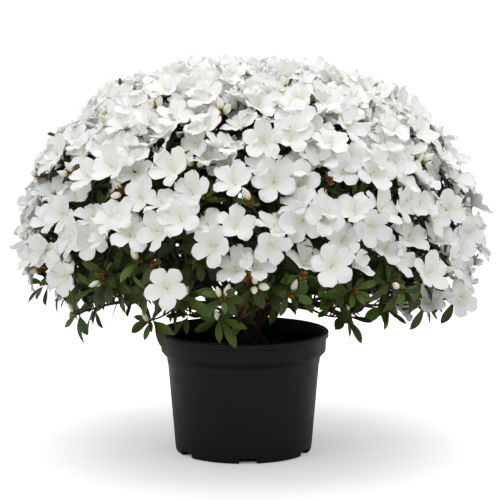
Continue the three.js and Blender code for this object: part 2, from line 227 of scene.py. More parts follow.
petalFinish = {
    "patch": 220, "low": 0.55, "high": 0.72, "specular": 0.2, "strength": 0.6, "relief": 0.0007,
    "veins": {"Across": 9, "Lengthwise": 0, "Slant": 0, "Midrib": 0.8},
    # the grey-blue petal tint is painted shade: a slightly darker copy of the white, dealt to some flowers
    "tints": {"white": (0.94, 0.94, 0.935), "cream": (0.94, 0.935, 0.90), "cool": (0.925, 0.93, 0.935),
              "blotch": (0.93, 0.935, 0.86), "throat": (0.92, 0.935, 0.81)},
}
stamenFinish = dict(petalFinish, tints={"filament": (0.86, 0.86, 0.76), "anther": (0.60, 0.52, 0.34)})
budFinish = dict(petalFinish, low=0.4, high=0.55, tints={
    "cream": (0.84, 0.82, 0.66), "green": (0.40, 0.46, 0.13), "pale": (0.74, 0.75, 0.46)})
leafFinish = {
    "patch": 160, "low": 0.28, "high": 0.46, "specular": 0.28, "strength": 0.7, "relief": 0.0009,
    "veins": {"Across": 0, "Lengthwise": 7, "Slant": -5, "Midrib": 0.9},
    # the deep and shade tints are painted shade: darker copies of the green, dealt mostly to leaves deep inside
    # the crown
    "tints": {"deep": (0.016, 0.030, 0.004), "shade": (0.024, 0.045, 0.005), "green": (0.036, 0.067, 0.008),
              "olive": (0.052, 0.072, 0.009), "fresh": (0.084, 0.145, 0.016), "bronze": (0.080, 0.052, 0.011)},
}
scaleFinish = dict(leafFinish, low=0.4, high=0.6, tints={
    "rust": (0.24, 0.088, 0.012), "straw": (0.36, 0.20, 0.035)})
twigFinish = {
    "patch": 300, "low": 0.6, "high": 0.85, "specular": 0.3, "strength": 0.8, "relief": 0.0004,
    "veins": {"Across": 5, "Lengthwise": 0, "Slant": 0, "Midrib": 0},
    "tints": {"old": (0.034, 0.020, 0.013), "red": (0.058, 0.024, 0.012), "young": (0.085, 0.085, 0.022)},
}


def bladesOf(prefix, finish):
    return [blade(prefix + tint, colour, finish) for tint, colour in finish["tints"].items()]


def slotsOf(*finishes):
    # the number of each tint's material slot
    return {tint: i for i, tint in enumerate(tint for finish in finishes for tint in finish["tints"])}


petalMaterials, petalSlots = bladesOf("petal_", petalFinish), slotsOf(petalFinish)
stamenMaterials, stamenSlots = bladesOf("", stamenFinish), slotsOf(stamenFinish)
leafMaterials, leafSlots = bladesOf("leaf_", leafFinish), slotsOf(leafFinish)
twigMaterials, twigSlots = bladesOf("twig_", twigFinish), slotsOf(twigFinish)
budMaterials = bladesOf("bud_", budFinish) + bladesOf("scale_", scaleFinish)
budSlots = slotsOf(budFinish, scaleFinish)
print("spray tints ready,", len(bpy.data.materials), "materials")


# The rule that the solids are grown by

dome = {"centre": np.array([0.008, 0, 0.288]), "spread": 0.348, "rise": 0.290, "drop": 0.118}
swells = {"threeWaves": 0.012, "fiveWaves": 0.01, "phases": (0.6, 2.1), "shoulders": 0.02, "fullerLeft": 0.025,
          "most": 1.045}
rings = {
    "top": {"count": 1, "turn": 0, "low": 66, "high": 90, "blossom": 1, "depth": 0},
    "shoulder": {"count": 6, "turn": 15, "low": 28, "high": 66, "blossom": 1, "depth": 0},
    "flank": {"count": 6, "turn": 45, "low": -9, "high": 28, "blossom": 1, "depth": 0},
    "skirt": {"count": 6, "turn": 15, "low": -58, "high": -9, "blossom": 0.05, "depth": 0.35},
}
limbs = {
    "top": {"tipShare": 0.6, "tipElevation": 90, "base": 0.007, "tip": 0.004, "leaves": 0.9, "bow": 0.008},
    "bough": {"tipShare": 0.6, "tipElevation": 47, "base": 0.0062, "tip": 0.0038, "bow": 0.040},
    "flank": {"tipShare": 0.6, "tipElevation": 9, "base": 0.0042, "tip": 0.003, "leaves": 0.34, "bow": 0.012},
    "skirt": {"tipShare": 0.66, "tipElevation": -40, "base": 0.0034, "tip": 0.0022, "leaves": 0.15, "bow": 0.008},
}
trunk = {"footX": 0.012, "lean": 0.005, "height": 0.046, "flare": 0.025, "radius": 0.014, "topRadius": 0.010,
         "boughLeaves": (0.34, 0.6)}
growth = {
    "clearance": 0.0003, "coreShare": 0.79, "stemReach": 0.08, "stemLap": 0.004, "stemTaper": 0.85,
    "forkShare": 0.5, "tipRadius": 0.0013, "thickens": 0.36, "sectorMargin": 0.0022, "limbMargin": 0.003,
    "tries": 1500, "stub": 0.006, "stubRadius": 0.001, "bladeShares": (0.35, 0.7, 1), "pathSteps": 10,
}
flowerShoot = {"lobes": 5, "rim": ((0, 0.021, 0.022), (1 / 3, 0.031, 0.026), (2 / 3, 0.031, 0.026)),
               "hub": 0.012, "vary": 0.1, "depth": 0.026, "spacing": 0.055, "jitter": 0.007, "lean": 0.45}
whorlShoot = {"lobes": 5, "rim": ((0, 0.003, 0.001), (0.26, 0.023, 0), (0.5, 0.040, -0.006), (0.74, 0.023, 0)),
              "hub": 0.006, "vary": 0.3, "spacing": 0.052, "rise": 0.3}
soilTop = 0.161


def domeHeight(elevation):
    return np.where(np.asarray(elevation) > 0, dome["rise"], dome["drop"])


def onDome(azimuth, elevation, share):
    turn, rise = math.radians(azimuth), math.radians(elevation)
    level = dome["spread"] * share * math.cos(rise)
    height = float(domeHeight(elevation)) * share * math.sin(rise)
    return dome["centre"] + np.array([level * math.cos(turn), level * math.sin(turn), height])


def outward(azimuth, elevation):
    turn, rise = math.radians(azimuth), math.radians(elevation)
    level = math.cos(rise) / dome["spread"]
    height = math.sin(rise) / float(domeHeight(elevation))
    return unit(np.array([level * math.cos(turn), level * math.sin(turn), height]))


def swell(azimuth, elevation):
    turn, rise = np.radians(azimuth), np.radians(elevation)
    waves = (swells["threeWaves"] * np.sin(3 * turn + swells["phases"][0])
             + swells["fiveWaves"] * np.sin(5 * turn + swells["phases"][1]))
    halfWayUp = np.sin(2 * rise)
    fuller = swells["shoulders"] * halfWayUp * halfWayUp - swells["fullerLeft"] * np.cos(turn) * halfWayUp
    return 1 + np.cos(rise) * waves + fuller


def placeOf(points):
    # azimuth, elevation, reach and level distance of points, seen from the dome's middle
    off = np.atleast_2d(points) - dome["centre"]
    height = domeHeight(off[:, 2])
    level = np.hypot(off[:, 0], off[:, 1])
    reach = np.hypot(level / dome["spread"], off[:, 2] / height)
    azimuth = np.degrees(np.arctan2(off[:, 1], off[:, 0]))
    elevation = np.degrees(np.arctan2(off[:, 2] / height, level / dome["spread"]))
    return azimuth, elevation, reach, level


def pastOutline(points):
    azimuth, elevation, reach, _ = placeOf(points)
    return float((reach / swell(azimuth, elevation)).max())


def sectorOf(ringName, index):
    ring = rings[ringName]
    width = 360 / ring["count"]
    aim = 90 if ring["count"] == 1 else (ring["low"] + ring["high"]) / 2
    name = ringName if ring["count"] == 1 else f"{ringName}_{index + 1}"
    return dict(ring, ring=ringName, name=name, middle=ring["turn"] + index * width, halfWidth=width / 2, aim=aim)


def keepsToSector(sector, points, margin):
    azimuth, elevation, reach, level = placeOf(points)
    size = reach * domeHeight(elevation)
    inside = reach <= swell(azimuth, elevation) * swells["most"]
    inside &= np.sin(np.radians(elevation - sector["low"])) * size >= margin
    if sector["count"] > 1:
        inside &= np.sin(np.radians(sector["high"] - elevation)) * size >= margin
        off = np.abs((azimuth - sector["middle"] + 180) % 360 - 180)
        inside &= (off < sector["halfWidth"]) & (level * np.sin(np.radians(sector["halfWidth"] - off)) > margin)
    return bool(inside.all())


def bend(curve, shares):
    # points of a three-point curve, evenly spaced along it
    a, b, c = curve
    steps = np.linspace(0, 1, 201)[:, None]
    line = (1 - steps) ** 2 * a + 2 * (1 - steps) * steps * b + steps ** 2 * c
    lengths = lengthsAlong(line)
    t = np.interp(np.atleast_1d(shares) * lengths[-1], lengths, steps[:, 0])[:, None]
    return (1 - t) ** 2 * a + 2 * (1 - t) * t * b + t ** 2 * c


def lengthsAlong(line):
    return np.concatenate([[0], np.cumsum(np.linalg.norm(np.diff(line, axis=0), axis=1))])


def trunkCurve():
    foot = soilTop + growth["clearance"]
    x, height = trunk["footX"], trunk["height"]
    return (np.array([x, 0, foot]), np.array([x, 0, foot + height / 2]),
            np.array([x - trunk["lean"], 0, foot + height]))


def layOutLimb(name, start, azimuth, size, bow):
    tip = onDome(azimuth, size["tipElevation"], size["tipShare"])
    curve = (start, (start + tip) / 2 + bow, tip)
    shares = np.linspace(0, 1, 25)
    return {"name": name, "curve": curve, "size": size, "points": bend(curve, shares),
            "radii": mixed(size["base"], size["tip"], shares)}


def layOutLimbs():
    stem = trunkCurve()
    top, bough = limbs["top"], limbs["bough"]
    found = [layOutLimb("top", bend(stem, top["leaves"])[0], 0, top, np.array([-top["bow"], top["bow"], 0]))]
    for i in range(rings["shoulder"]["count"]):
        azimuth = sectorOf("shoulder", i)["middle"]
        start = bend(stem, trunk["boughLeaves"][i % 2])[0]
        carrier = layOutLimb(f"shoulder_{i + 1}", start, azimuth, bough, outward(azimuth, 0) * bough["bow"])
        found.append(carrier)
        for ringName in ("flank", "skirt"):
            size = limbs[ringName]
            start = bend(carrier["curve"], size["leaves"])[0]
            sag = np.array([0, 0, -size["bow"]])
            found.append(layOutLimb(f"{ringName}_{i + 1}", start, sectorOf(ringName, i)["middle"], size, sag))
    return found


allLimbs = layOutLimbs()
limbPoints = np.concatenate([limb["points"] for limb in allLimbs])
limbRadii = np.concatenate([limb["radii"] for limb in allLimbs])


def clearOfLimbs(points, margin):
    gaps = np.linalg.norm(points[:, None, :] - limbPoints[None], axis=2)
    return bool((gaps >= limbRadii + margin).all())


def isFree(sector, points):
    points = np.atleast_2d(points)
    return keepsToSector(sector, points, growth["sectorMargin"]) and clearOfLimbs(points, growth["limbMargin"])


def shootOutline(shoot):
    size, axis, foot = shoot["size"], shoot["axis"], shoot["foot"]
    side = turned(unit(np.cross([1.0, 0, 0], axis)), axis, shoot["spin"])
    points = [foot + axis * size["hub"]]
    for lobe, scale in enumerate(shoot["lobeScales"]):
        for place, reach, height in size["rim"]:
            around = turned(side, axis, (lobe + place) / size["lobes"] * wholeTurn)
            points.append(foot + axis * height + around * reach * scale)
    for end in (foot, foot - axis * growth["stub"]):
        points += [end + turned(side, axis, turn) * growth["stubRadius"] for turn in turnsRound(3)]
    return np.array(points)


def scatterShoots(sector, draw):
    lowSine, highSine = (math.sin(math.radians(sector[key])) for key in ("low", "high"))
    shoots = []
    for _ in range(growth["tries"]):
        azimuth = sector["middle"] + (draw() * 2 - 1) * sector["halfWidth"]
        elevation = math.degrees(math.asin(lowSine + (highSine - lowSine) * draw()))
        share = float(swell(azimuth, elevation)) * (1 - sector["depth"] * draw())
        tip = onDome(azimuth, elevation, share)
        out = outward(azimuth, elevation)
        if draw() < sector["blossom"]:
            sway = np.array([draw() - 0.5, draw() - 0.5, draw() * 0.6 - 0.1])  # to any side, rather up than down
            axis = unit(out + sway * flowerShoot["lean"])
            foot = tip - axis * (flowerShoot["depth"] + draw() * flowerShoot["jitter"])
            shoot = {"tip": tip, "foot": foot, "axis": axis, "size": flowerShoot}
        else:
            axis = unit(np.array([out[0], out[1], (abs(out[2]) + 1) * whorlShoot["rise"]]))
            shoot = {"tip": tip, "foot": tip, "axis": axis, "size": whorlShoot}
        size = shoot["size"]
        shoot["spin"] = draw() * wholeTurn
        shoot["lobeScales"] = [1 + (draw() - 0.5) * size["vary"] for _ in range(size["lobes"])]
        if any(np.linalg.norm(other["tip"] - tip) < size["spacing"] for other in shoots):
            continue
        outline = shootOutline(shoot)
        seen = np.concatenate([mixed(shoot["foot"], outline, part) for part in growth["bladeShares"]])
        if isFree(sector, seen):
            shoots.append(shoot)
    return shoots


def middleOf(shoots):
    return np.mean([shoot["foot"] for shoot in shoots], axis=0)


def growTwigs(sector, start, shoots, twigs):
    # the half that lies straighter ahead goes on with the twig, the other half starts its own
    path, sides, radii, carried = [start], [], [], shoots
    while len(carried) > 1:
        fork = mixed(path[-1], middleOf(carried), growth["forkShare"])
        heading = unit(fork - path[-1])
        feet = np.array([shoot["foot"] for shoot in carried])
        widest = int(np.argmax(feet.max(axis=0) - feet.min(axis=0)))
        ordered = sorted(carried, key=lambda shoot: shoot["foot"][widest])
        half = math.ceil(len(ordered) / 2)
        halves = sorted((ordered[:half], ordered[half:]), reverse=True,
                        key=lambda each: float(unit(middleOf(each) - fork) @ heading))
        radii.append(growth["tipRadius"] * len(carried) ** growth["thickens"])
        path.append(fork)
        sides.append((fork, halves[1]))
        carried = halves[0]
    path.append(carried[0]["foot"])
    radii += [growth["tipRadius"]] * 2
    steps = np.arange(growth["pathSteps"])[:, None] / growth["pathSteps"]
    looked = np.concatenate([mixed(path[i], path[i + 1], steps) for i in range(len(path) - 1)])
    if not isFree(sector, looked):
        others = [shoot for shoot in shoots if shoot is not carried[0]]
        if others:
            growTwigs(sector, start, others, twigs)
        return
    twigs.append({"path": np.array(path), "radii": np.array(radii), "shoot": carried[0]})
    for fork, aside in sides:
        growTwigs(sector, fork, aside, twigs)


def growMass(sector, seed):
    carrier = next(limb for limb in allLimbs if limb["name"] == sector["name"])
    curve, size = carrier["curve"], carrier["size"]
    heading = unit(curve[2] - curve[1])
    stemFoot = curve[2] + heading * growth["clearance"]
    share = size["tipShare"] + growth["stemReach"] if sector["ring"] == "skirt" else growth["coreShare"]
    stemEnd = onDome(sector["middle"], sector["aim"], share)
    middle = stemFoot + heading * np.linalg.norm(stemEnd - stemFoot) / 2
    stem = bend((curve[2] - heading * growth["stemLap"], middle, stemEnd), np.linspace(0, 1, 6))
    draw = makeDraws(seed)
    shoots = scatterShoots(sector, draw)
    twigs = []
    growTwigs(sector, stemEnd, shoots, twigs)
    stemRadii = size["tip"] * np.linspace(1, growth["stemTaper"], len(stem))
    return {"sector": sector, "stem": stem, "stemRadii": stemRadii, "twigs": twigs, "draw": draw}


masses = []
for ringName, ring in rings.items():
    for i in range(ring["count"]):
        masses.append(growMass(sectorOf(ringName, i), len(masses) + 1))
grown = sum(len(mass["twigs"]) for mass in masses)
print("grown by the source's rule:", grown, "shoots in", len(masses), "masses")


# Forms are meshes as arrays, and a heap gathers many of them

def newHeap():
    return {"points": [], "quads": [], "tris": [], "uv": [], "quadSlots": [], "triSlots": [], "count": 0}


def addForm(heap, form, at=None, axes=None, shift=0):
    # a copy of a form: axes are the rows of directions for its x, y and z, and shift is its plain faces' slot
    points = form["points"] if axes is None else form["points"] @ axes
    slots = np.where(form["slots"] == 0, shift, form["slots"])
    heap["points"].append(points if at is None else points + at)
    heap["quads"].append(form["quads"] + heap["count"])
    heap["tris"].append(form["tris"] + heap["count"])
    heap["uv"].append(form["uv"])
    heap["quadSlots"].append(slots[: len(form["quads"])])
    heap["triSlots"].append(slots[len(form["quads"]):])
    heap["count"] += len(points)


def stacked(heap):
    # the heap as one form
    form = {key: np.concatenate(heap[key]) for key in ("points", "quads", "tris", "uv")}
    form["slots"] = np.concatenate(heap["quadSlots"] + heap["triSlots"])
    return form


def addObject(name, data, at=(0, 0, 0), rotation=(0, 0, 0)):
    placed = bpy.data.objects.new(name, data)
    placed.location, placed.rotation_euler = at, rotation
    bpy.context.scene.collection.objects.link(placed)
    return placed


def buildPiece(name, heap, materials, slot, replaced=()):
    form = stacked(heap)
    points, quads, tris = form["points"], form["quads"], form["tris"]
    corners = np.concatenate([quads.ravel(), tris.ravel()]).astype(np.int32)
    starts = np.concatenate([np.arange(len(quads)) * 4, len(quads) * 4 + np.arange(len(tris)) * 3])
    mesh = bpy.data.meshes.new(name)
    mesh.vertices.add(len(points))
    mesh.vertices.foreach_set("co", points.astype(np.float32).ravel())
    mesh.loops.add(len(corners))
    mesh.loops.foreach_set("vertex_index", corners)
    mesh.polygons.add(len(starts))
    mesh.polygons.foreach_set("loop_start", starts.astype(np.int32))
    mesh.polygons.foreach_set("material_index", form["slots"].astype(np.int32))
    mesh.polygons.foreach_set("use_smooth", np.ones(len(starts), bool))
    mesh.update(calc_edges=True)
    layer = mesh.uv_layers.new(name="alongBlade")
    layer.data.foreach_set("uv", form["uv"][corners].astype(np.float32).ravel())
    for material in materials:
        mesh.materials.append(material)
    piece = addObject(name, mesh)
    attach(piece, "root")
    if replaced:
        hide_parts(*replaced)
    print(f"{name}: {len(quads) * 2 + len(tris)} triangles")
    return piece


def gridForm(points, slots=0, wrap=False):
    # a form from rows of points, closed round each row where wrap is set
    rows, columns = points.shape[:2]
    across = columns if wrap else columns - 1
    row, column = np.meshgrid(np.arange(rows - 1), np.arange(across), indexing="ij")
    nextColumn = (column + 1) % columns
    quads = np.stack([row * columns + column, row * columns + nextColumn,
                      (row + 1) * columns + nextColumn, (row + 1) * columns + column], axis=-1).reshape(-1, 4)
    u, v = np.meshgrid(np.linspace(0, 1, columns), np.linspace(0, 1, rows))
    return {"points": points.reshape(-1, 3), "quads": quads, "tris": np.zeros((0, 3), int),
            "uv": np.stack([u, v], axis=-1).reshape(-1, 2),
            "slots": np.broadcast_to(slots, (rows - 1, across)).ravel()}


def capped(form, columns):
    # closes both ends of a wrapped form with a point
    points, slots = form["points"], form["slots"]
    count, around = len(points), np.arange(columns)
    following, last = (around + 1) % columns, count - columns
    tris = np.concatenate([
        np.stack([following, around, np.full(columns, count)], axis=-1),
        np.stack([last + around, last + following, np.full(columns, count + 1)], axis=-1),
    ])
    ends = [points[:columns].mean(axis=0), points[-columns:].mean(axis=0)]
    return dict(form, points=np.concatenate([points, ends]), tris=tris,
                uv=np.concatenate([form["uv"], [[0.5, 0], [0.5, 1]]]),
                slots=np.concatenate([slots, np.repeat(slots[[0, -1]], columns)]))


def sweep(path, radii, sides, slot=0):
    # a round tube along a path, closed at both ends. Radii are one for each point, or a row round each
    tangents = np.gradient(path, axis=0)
    turns = turnsRound(sides)
    side = anySide(unit(tangents[0]))
    rows = []
    for point, tangent, radius in zip(path, tangents, radii):
        tangent = unit(tangent)
        side = unit(side - tangent * (side @ tangent))
        other = np.cross(tangent, side)
        reach = np.broadcast_to(radius, sides)[:, None]
        rows.append(point + reach * (np.cos(turns)[:, None] * side + np.sin(turns)[:, None] * other))
    return capped(gridForm(np.array(rows), slot, wrap=True), sides)


def softened(path, perLeg):
    # a smooth line through the points of a path
    ends = np.concatenate([[2 * path[0] - path[1]], path, [2 * path[-1] - path[-2]]])
    line = []
    for i in range(1, len(ends) - 2):
        a, b, c, d = ends[i - 1: i + 3]
        for t in np.arange(perLeg) / perLeg:
            line.append(0.5 * (2 * b + (c - a) * t + (2 * a - 5 * b + 4 * c - d) * t * t
                               + (3 * b - 3 * c + d - a) * t ** 3))
    line.append(path[-1])
    return np.array(line)


# Flower. Pairs named with From are a radius at which something sets in, and the span that it takes

flower = {
    "variants": 20, "across": 8, "radius": 0.030, "tubeDepth": 0.0175, "halfWidth": (0.0110, 0.0126),
    "widest": 0.0178, "waist": 0.86, "overlap": 1.1, "scale": (0.93, 1.05), "cup": (-0.0016, 0.0030),
    "tip": (-0.008, 0.004), "tipRound": (0.985, 2.1), "tipHollow": 0.0012, "imbricate": 0.0013, "fold": 0.0007,
    "notch": (0, 0.0022), "notchAt": (-0.25, 0.25), "wavyEdge": 0.05, "edgeWaves": (600, 900), "ruffle": 0.0023,
    "ruffleAcross": (3.2, 5.5), "ruffleAlong": (0.8, 520), "anyPhase": (0, 6.3), "swing": (-0.06, 0.06),
    "waistFrom": (0.012, 0.008), "wavyFrom": (0.014, 0.006),
    "freeFrom": (0.0085, 0.007), "liftFrom": (0.010, 0.020),
    # radius and height from the foot of the tube to a lobe's tip
    "line": ((0.0007, -0.0175), (0.0034, -0.0155), (0.0062, -0.0126), (0.0094, -0.0097), (0.0130, -0.0068),
             (0.0180, -0.0038), (0.0236, -0.0014), (0.0300, 0.0)),
    "rows": (0, 1.9, 3.0, 4.1, 5.2, 5.9, 6.4, 6.75, 7), "lobeTurns": (0, 68, 140, 220, 292),
}


def lobePoints(draw):
    line = np.array(flower["line"])
    profile = softened(np.column_stack([line, np.zeros(len(line))]), 10)
    steps = np.arange(len(profile)) / 10
    r, z = (np.interp(flower["rows"], steps, profile[:, i])[:, None] for i in (0, 1))
    u = np.linspace(-1, 1, flower["across"] + 1)[None, :]
    size, width = draw(*flower["scale"]), draw(*flower["halfWidth"])
    tube = r * math.tan(math.pi / 5) * flower["overlap"]
    past = ramped(r, flower["widest"], line[-1, 0] - flower["widest"])
    waist = mixed(flower["waist"], 1, ramped(r, *flower["waistFrom"]))
    waves = np.sin(r * draw(*flower["edgeWaves"]) + draw(*flower["anyPhase"]))
    wavy = 1 + flower["wavyEdge"] * waves * ramped(r, *flower["wavyFrom"])
    most, power = flower["tipRound"]
    half = np.minimum(tube, width * waist * wavy * np.sqrt(1 - most * past ** power))
    free = ramped(r, *flower["freeFrom"])
    aside = u * half
    turn = aside / r
    notch = draw(*flower["notch"]) * np.clip(1 - 2 * np.abs(u - draw(*flower["notchAt"])), 0, 1) * past ** 3
    x = mixed(r * np.cos(turn), r - past * flower["tipHollow"] * u ** 2 - notch, free) * size
    y = mixed(r * np.sin(turn), aside, free)
    share, along = flower["ruffleAlong"]
    ruffles = np.sin(u * draw(*flower["ruffleAcross"]) + draw(*flower["anyPhase"])) * np.abs(u)
    ruffles = ruffles + share * np.sin(r * along + draw(*flower["anyPhase"])) * u
    lift = ramped(r, *flower["liftFrom"]) ** 1.6 * draw(*flower["tip"])
    z = z + lift + draw(*flower["cup"]) * u ** 2 * free + flower["imbricate"] * u * free
    z = z + flower["ruffle"] * ruffles * (free * (0.3 + 0.7 * past))
    z = z - flower["fold"] * np.cos(u * math.pi / 2) ** 4 * free
    return np.stack([x, y, np.broadcast_to(z, y.shape)], axis=-1)


def makeFlower(draw):
    heap = newHeap()
    for k, lobeTurn in enumerate(flower["lobeTurns"]):
        points = lobePoints(draw)
        turn = math.radians(lobeTurn) + draw(*flower["swing"])
        spun = np.array([[math.cos(turn), math.sin(turn), 0], [-math.sin(turn), math.cos(turn), 0], [0, 0, 1]])
        slots = np.zeros((len(flower["rows"]) - 1, flower["across"]), int)
        slots[:2], slots[2] = petalSlots["throat"], petalSlots["blotch"]
        if k == 0:
            slots[3:5, 3:-3] = petalSlots["blotch"]  # the upper lobe's blotch reaches further out
        addForm(heap, gridForm(points @ spun, slots))
    return stacked(heap)


stamens = {"count": 5, "length": (0.012, 0.018), "foot": 0.6, "lean": (0.003, 0.006), "bow": 0.002,
           "radius": 0.00022, "anther": 0.0008, "styleLength": 1.15, "styleLean": 0.002, "styleKnob": 0.7,
           "variants": 6}


def makeStamens(draw):
    heap = newHeap()
    foot = -flower["tubeDepth"] * stamens["foot"]
    for k in range(stamens["count"] + 1):
        isStyle = k == stamens["count"]
        length = stamens["length"][1] * stamens["styleLength"] if isStyle else draw(*stamens["length"])
        turn = k / stamens["count"] * wholeTurn + draw(-0.3, 0.3)
        lean = stamens["styleLean"] if isStyle else draw(*stamens["lean"])
        around = np.array([math.cos(turn), math.sin(turn), 0])
        tip = around * lean + np.array([stamens["bow"] * 1.5, 0, foot + length])
        middle = around * lean * 0.5 + np.array([-stamens["bow"], 0, foot + length * 0.55])
        line = bend((around * 0.0006 + up * foot, middle, tip), np.linspace(0, 1, 3))
        addForm(heap, sweep(line, np.full(3, stamens["radius"]), 3))
        heading = unit(line[-1] - line[-2])
        size = stamens["anther"] * (stamens["styleKnob"] if isStyle else 1)
        knob = np.array([tip + heading * size * share for share in (-0.3, 1.3)])
        addForm(heap, sweep(knob, np.array([0.5, 0.5]) * size, 3, slot=stamenSlots["anther"]))
    return stacked(heap)


# Leaf, bud and bud scale

leaf = {"length": (0.032, 0.045), "halfWidth": (0.0060, 0.0082), "fold": (0.15, 0.6), "droop": (-0.02, 0.3),
        "twist": (-0.5, 0.5), "sway": (-0.004, 0.004), "turnsUp": 0.5, "cup": 0.0012, "variants": 24,
        "places": (0, 0.1, 0.25, 0.42, 0.58, 0.72, 0.86, 0.95, 1),
        "widths": (0.1, 0.16, 0.5, 0.84, 1, 0.95, 0.66, 0.33, 0.05),
        "outer": (7, 5), "inner": (5, 3)}  # rows and columns
budScale = {"half": 0.0026, "rows": 4, "fold": -0.3, "pointed": True}
looseScale = {"length": 0.01, "droop": -0.12, "count": 6, "vary": (0.7, 1.1), "foot": 0.0012}
bud = {
    "length": 0.022, "radius": 0.0048, "sides": 10, "rows": 10, "furrow": 0.07, "twist": 2.2,
    "lean": (0, 0.0015),
    "places": (0, 0.08, 0.3, 0.55, 0.8, 0.95, 1), "girths": (0.3, 0.5, 0.9, 1, 0.66, 0.28, 0.1), "variants": 6,
    "scales": 5, "scaleLength": 0.0085, "scaleVary": (0.8, 1.15), "scaleDroop": -0.16, "scaleLean": 0.42,
}


def leafBlade(length, half, rows, fold, droop, pointed=False, columns=3):
    # a leaf along x, lying in y, with its upper face to z
    v = np.linspace(0, 1, rows + 1)
    if pointed:
        width = np.sin(np.clip(v * 1.02 + 0.06, 0, 1) * math.pi) ** 0.8
    else:
        v = v ** 0.9
        width = np.interp(v, leaf["places"], leaf["widths"])
    u = np.linspace(-1, 1, columns)
    y = width[:, None] * half * u
    z = np.abs(y) * fold - leaf["cup"] * (width[:, None] * u) ** 2 - droop * length * v[:, None] ** 2
    return gridForm(np.stack([np.broadcast_to(v[:, None] * length, y.shape), y, z], axis=-1))


def makeLeaf(draw, rows, columns):
    length = draw(*leaf["length"])
    form = leafBlade(length, draw(*leaf["halfWidth"]), rows, draw(*leaf["fold"]), draw(*leaf["droop"]),
                     columns=columns)
    twist, sway = draw(*leaf["twist"]), draw(*leaf["sway"])
    x, y, z = form["points"].T
    v = x / length
    return dict(form, points=np.column_stack([x, y + sway * v ** 2, z + y * twist * v]))


def scaleSlot(k):
    return budSlots[("rust", "straw")[k % 2]]


def makeBud(draw):
    rows = np.linspace(0, 1, bud["rows"])
    girth = np.interp(rows, bud["places"], bud["girths"])[:, None] * bud["radius"]
    turn, v = np.meshgrid(turnsRound(bud["sides"]), rows)
    r = girth * (1 + bud["furrow"] * np.sin(turn * 3 + v * bud["twist"] * 3))
    lean = draw(*bud["lean"])
    points = np.stack([r * np.cos(turn) + lean * v ** 2, r * np.sin(turn), v * bud["length"]], axis=-1)
    slots = np.zeros((bud["rows"] - 1, 1), int)
    slots[:2], slots[2:4] = budSlots["green"], budSlots["pale"]
    heap = newHeap()
    addForm(heap, capped(gridForm(points, slots, wrap=True), bud["sides"]))
    for k in range(bud["scales"]):
        length = bud["scaleLength"] * draw(*bud["scaleVary"])
        turn = k / bud["scales"] * wholeTurn + draw(-0.3, 0.3)
        side = np.array([math.cos(turn), math.sin(turn), 0])
        rise = unit(side * bud["scaleLean"] + up)
        form = leafBlade(length, droop=bud["scaleDroop"], **budScale)
        axes = np.array([rise, np.cross(rise, side), side])
        addForm(heap, form, side * bud["radius"] * bud["scaleLean"], axes, scaleSlot(k))
    return stacked(heap)


formDraw = makeDraws(101)
scaleForm = leafBlade(looseScale["length"], droop=looseScale["droop"], **budScale)
flowerForms = [makeFlower(formDraw) for _ in range(flower["variants"])]
stamenForms = [makeStamens(formDraw) for _ in range(stamens["variants"])]
budForms = [makeBud(formDraw) for _ in range(bud["variants"])]
leafForms = [makeLeaf(formDraw, *leaf["outer"]) for _ in range(leaf["variants"])]
innerForms = [makeLeaf(formDraw, *leaf["inner"]) for _ in range(leaf["variants"])]
print("forms ready: a flower has", len(flowerForms[0]["quads"]) * 2, "triangles, a leaf",
      len(leafForms[0]["quads"]) * 2)


# Where things may stand

# elevations where flowers end, at azimuths round the dome
flowerLine = {"azimuth": (-180, -150, -138, -128, -114, -106, -60, -40, -20, 30, 60, 120, 180),
              "elevation": (-10, -8, -3, 10, 10, 2, 2.5, -3, -30, -30, -16, -16, -10)}
skirtLow = {"height": 0.232, "slope": 0.115}  # shoots under this height are left out, and it rises to the front
fullerRight = {"azimuth": 10, "rise": 0.012, "outline": 0.035}
overFace = {"from": -0.004, "to": 0.032, "within": 0.024, "throat": 0.006, "throatOpens": 0.9}
keeping = {"boxMargin": 0.001, "rimLift": 0.005, "rimMargin": 1.15, "stamenReach": 0.018}
boxLow, boxHigh = np.array(cadLow) + keeping["boxMargin"], np.array(cadHigh) - keeping["boxMargin"]
flowerSpots, flowerFaces, lateOnes, lateForms = [], [], [], []


def ringAt(elevation):
    return next(name for name, ring in rings.items() if ring["low"] <= elevation or name == "skirt")


def lowestFlower(azimuth):
    return float(np.interp(azimuth, flowerLine["azimuth"], flowerLine["elevation"]))


def isTooLow(spot):
    return spot[2] < skirtLow["height"] - skirtLow["slope"] * spot[1]


def isOverLine(spot):
    azimuth, elevation, _, _ = placeOf(spot)
    return elevation[0] > lowestFlower(azimuth[0])


def fullness(azimuth, elevation):
    # how much further out the flowers stand on the right shoulder
    aside = math.radians(azimuth - fullerRight["azimuth"])
    return max(0, math.cos(aside)) * math.sin(math.radians(2 * max(elevation, 0))) ** 2


def anyPlace(draw, lowest):
    # azimuth and elevation of a place above the lowest, all parts of the dome alike
    azimuth = draw(-180, 180)
    return azimuth, math.degrees(math.asin(mixed(math.sin(math.radians(lowest)), 1, draw())))


def pastBox(points):
    # how far points have to move to lie inside the solids' box
    return np.maximum(boxLow - points.min(axis=0), 0) - np.maximum(points.max(axis=0) - boxHigh, 0)


def keptIn(centre, face, scale, limit):
    # draws a flower in until its rim lies inside the grown outline
    side = anySide(face)
    rim = np.array([turned(side, face, turn) for turn in turnsRound(8)]) * (flower["radius"] * scale)
    rim = rim + face * keeping["rimLift"]
    for _ in range(4):
        over = pastOutline(centre + rim) - limit
        if over <= 0:
            break
        centre = mixed(centre, dome["centre"], over)
    reach = np.concatenate([rim * keeping["rimMargin"], [face * keeping["stamenReach"]]])
    return centre + pastBox(centre + reach)


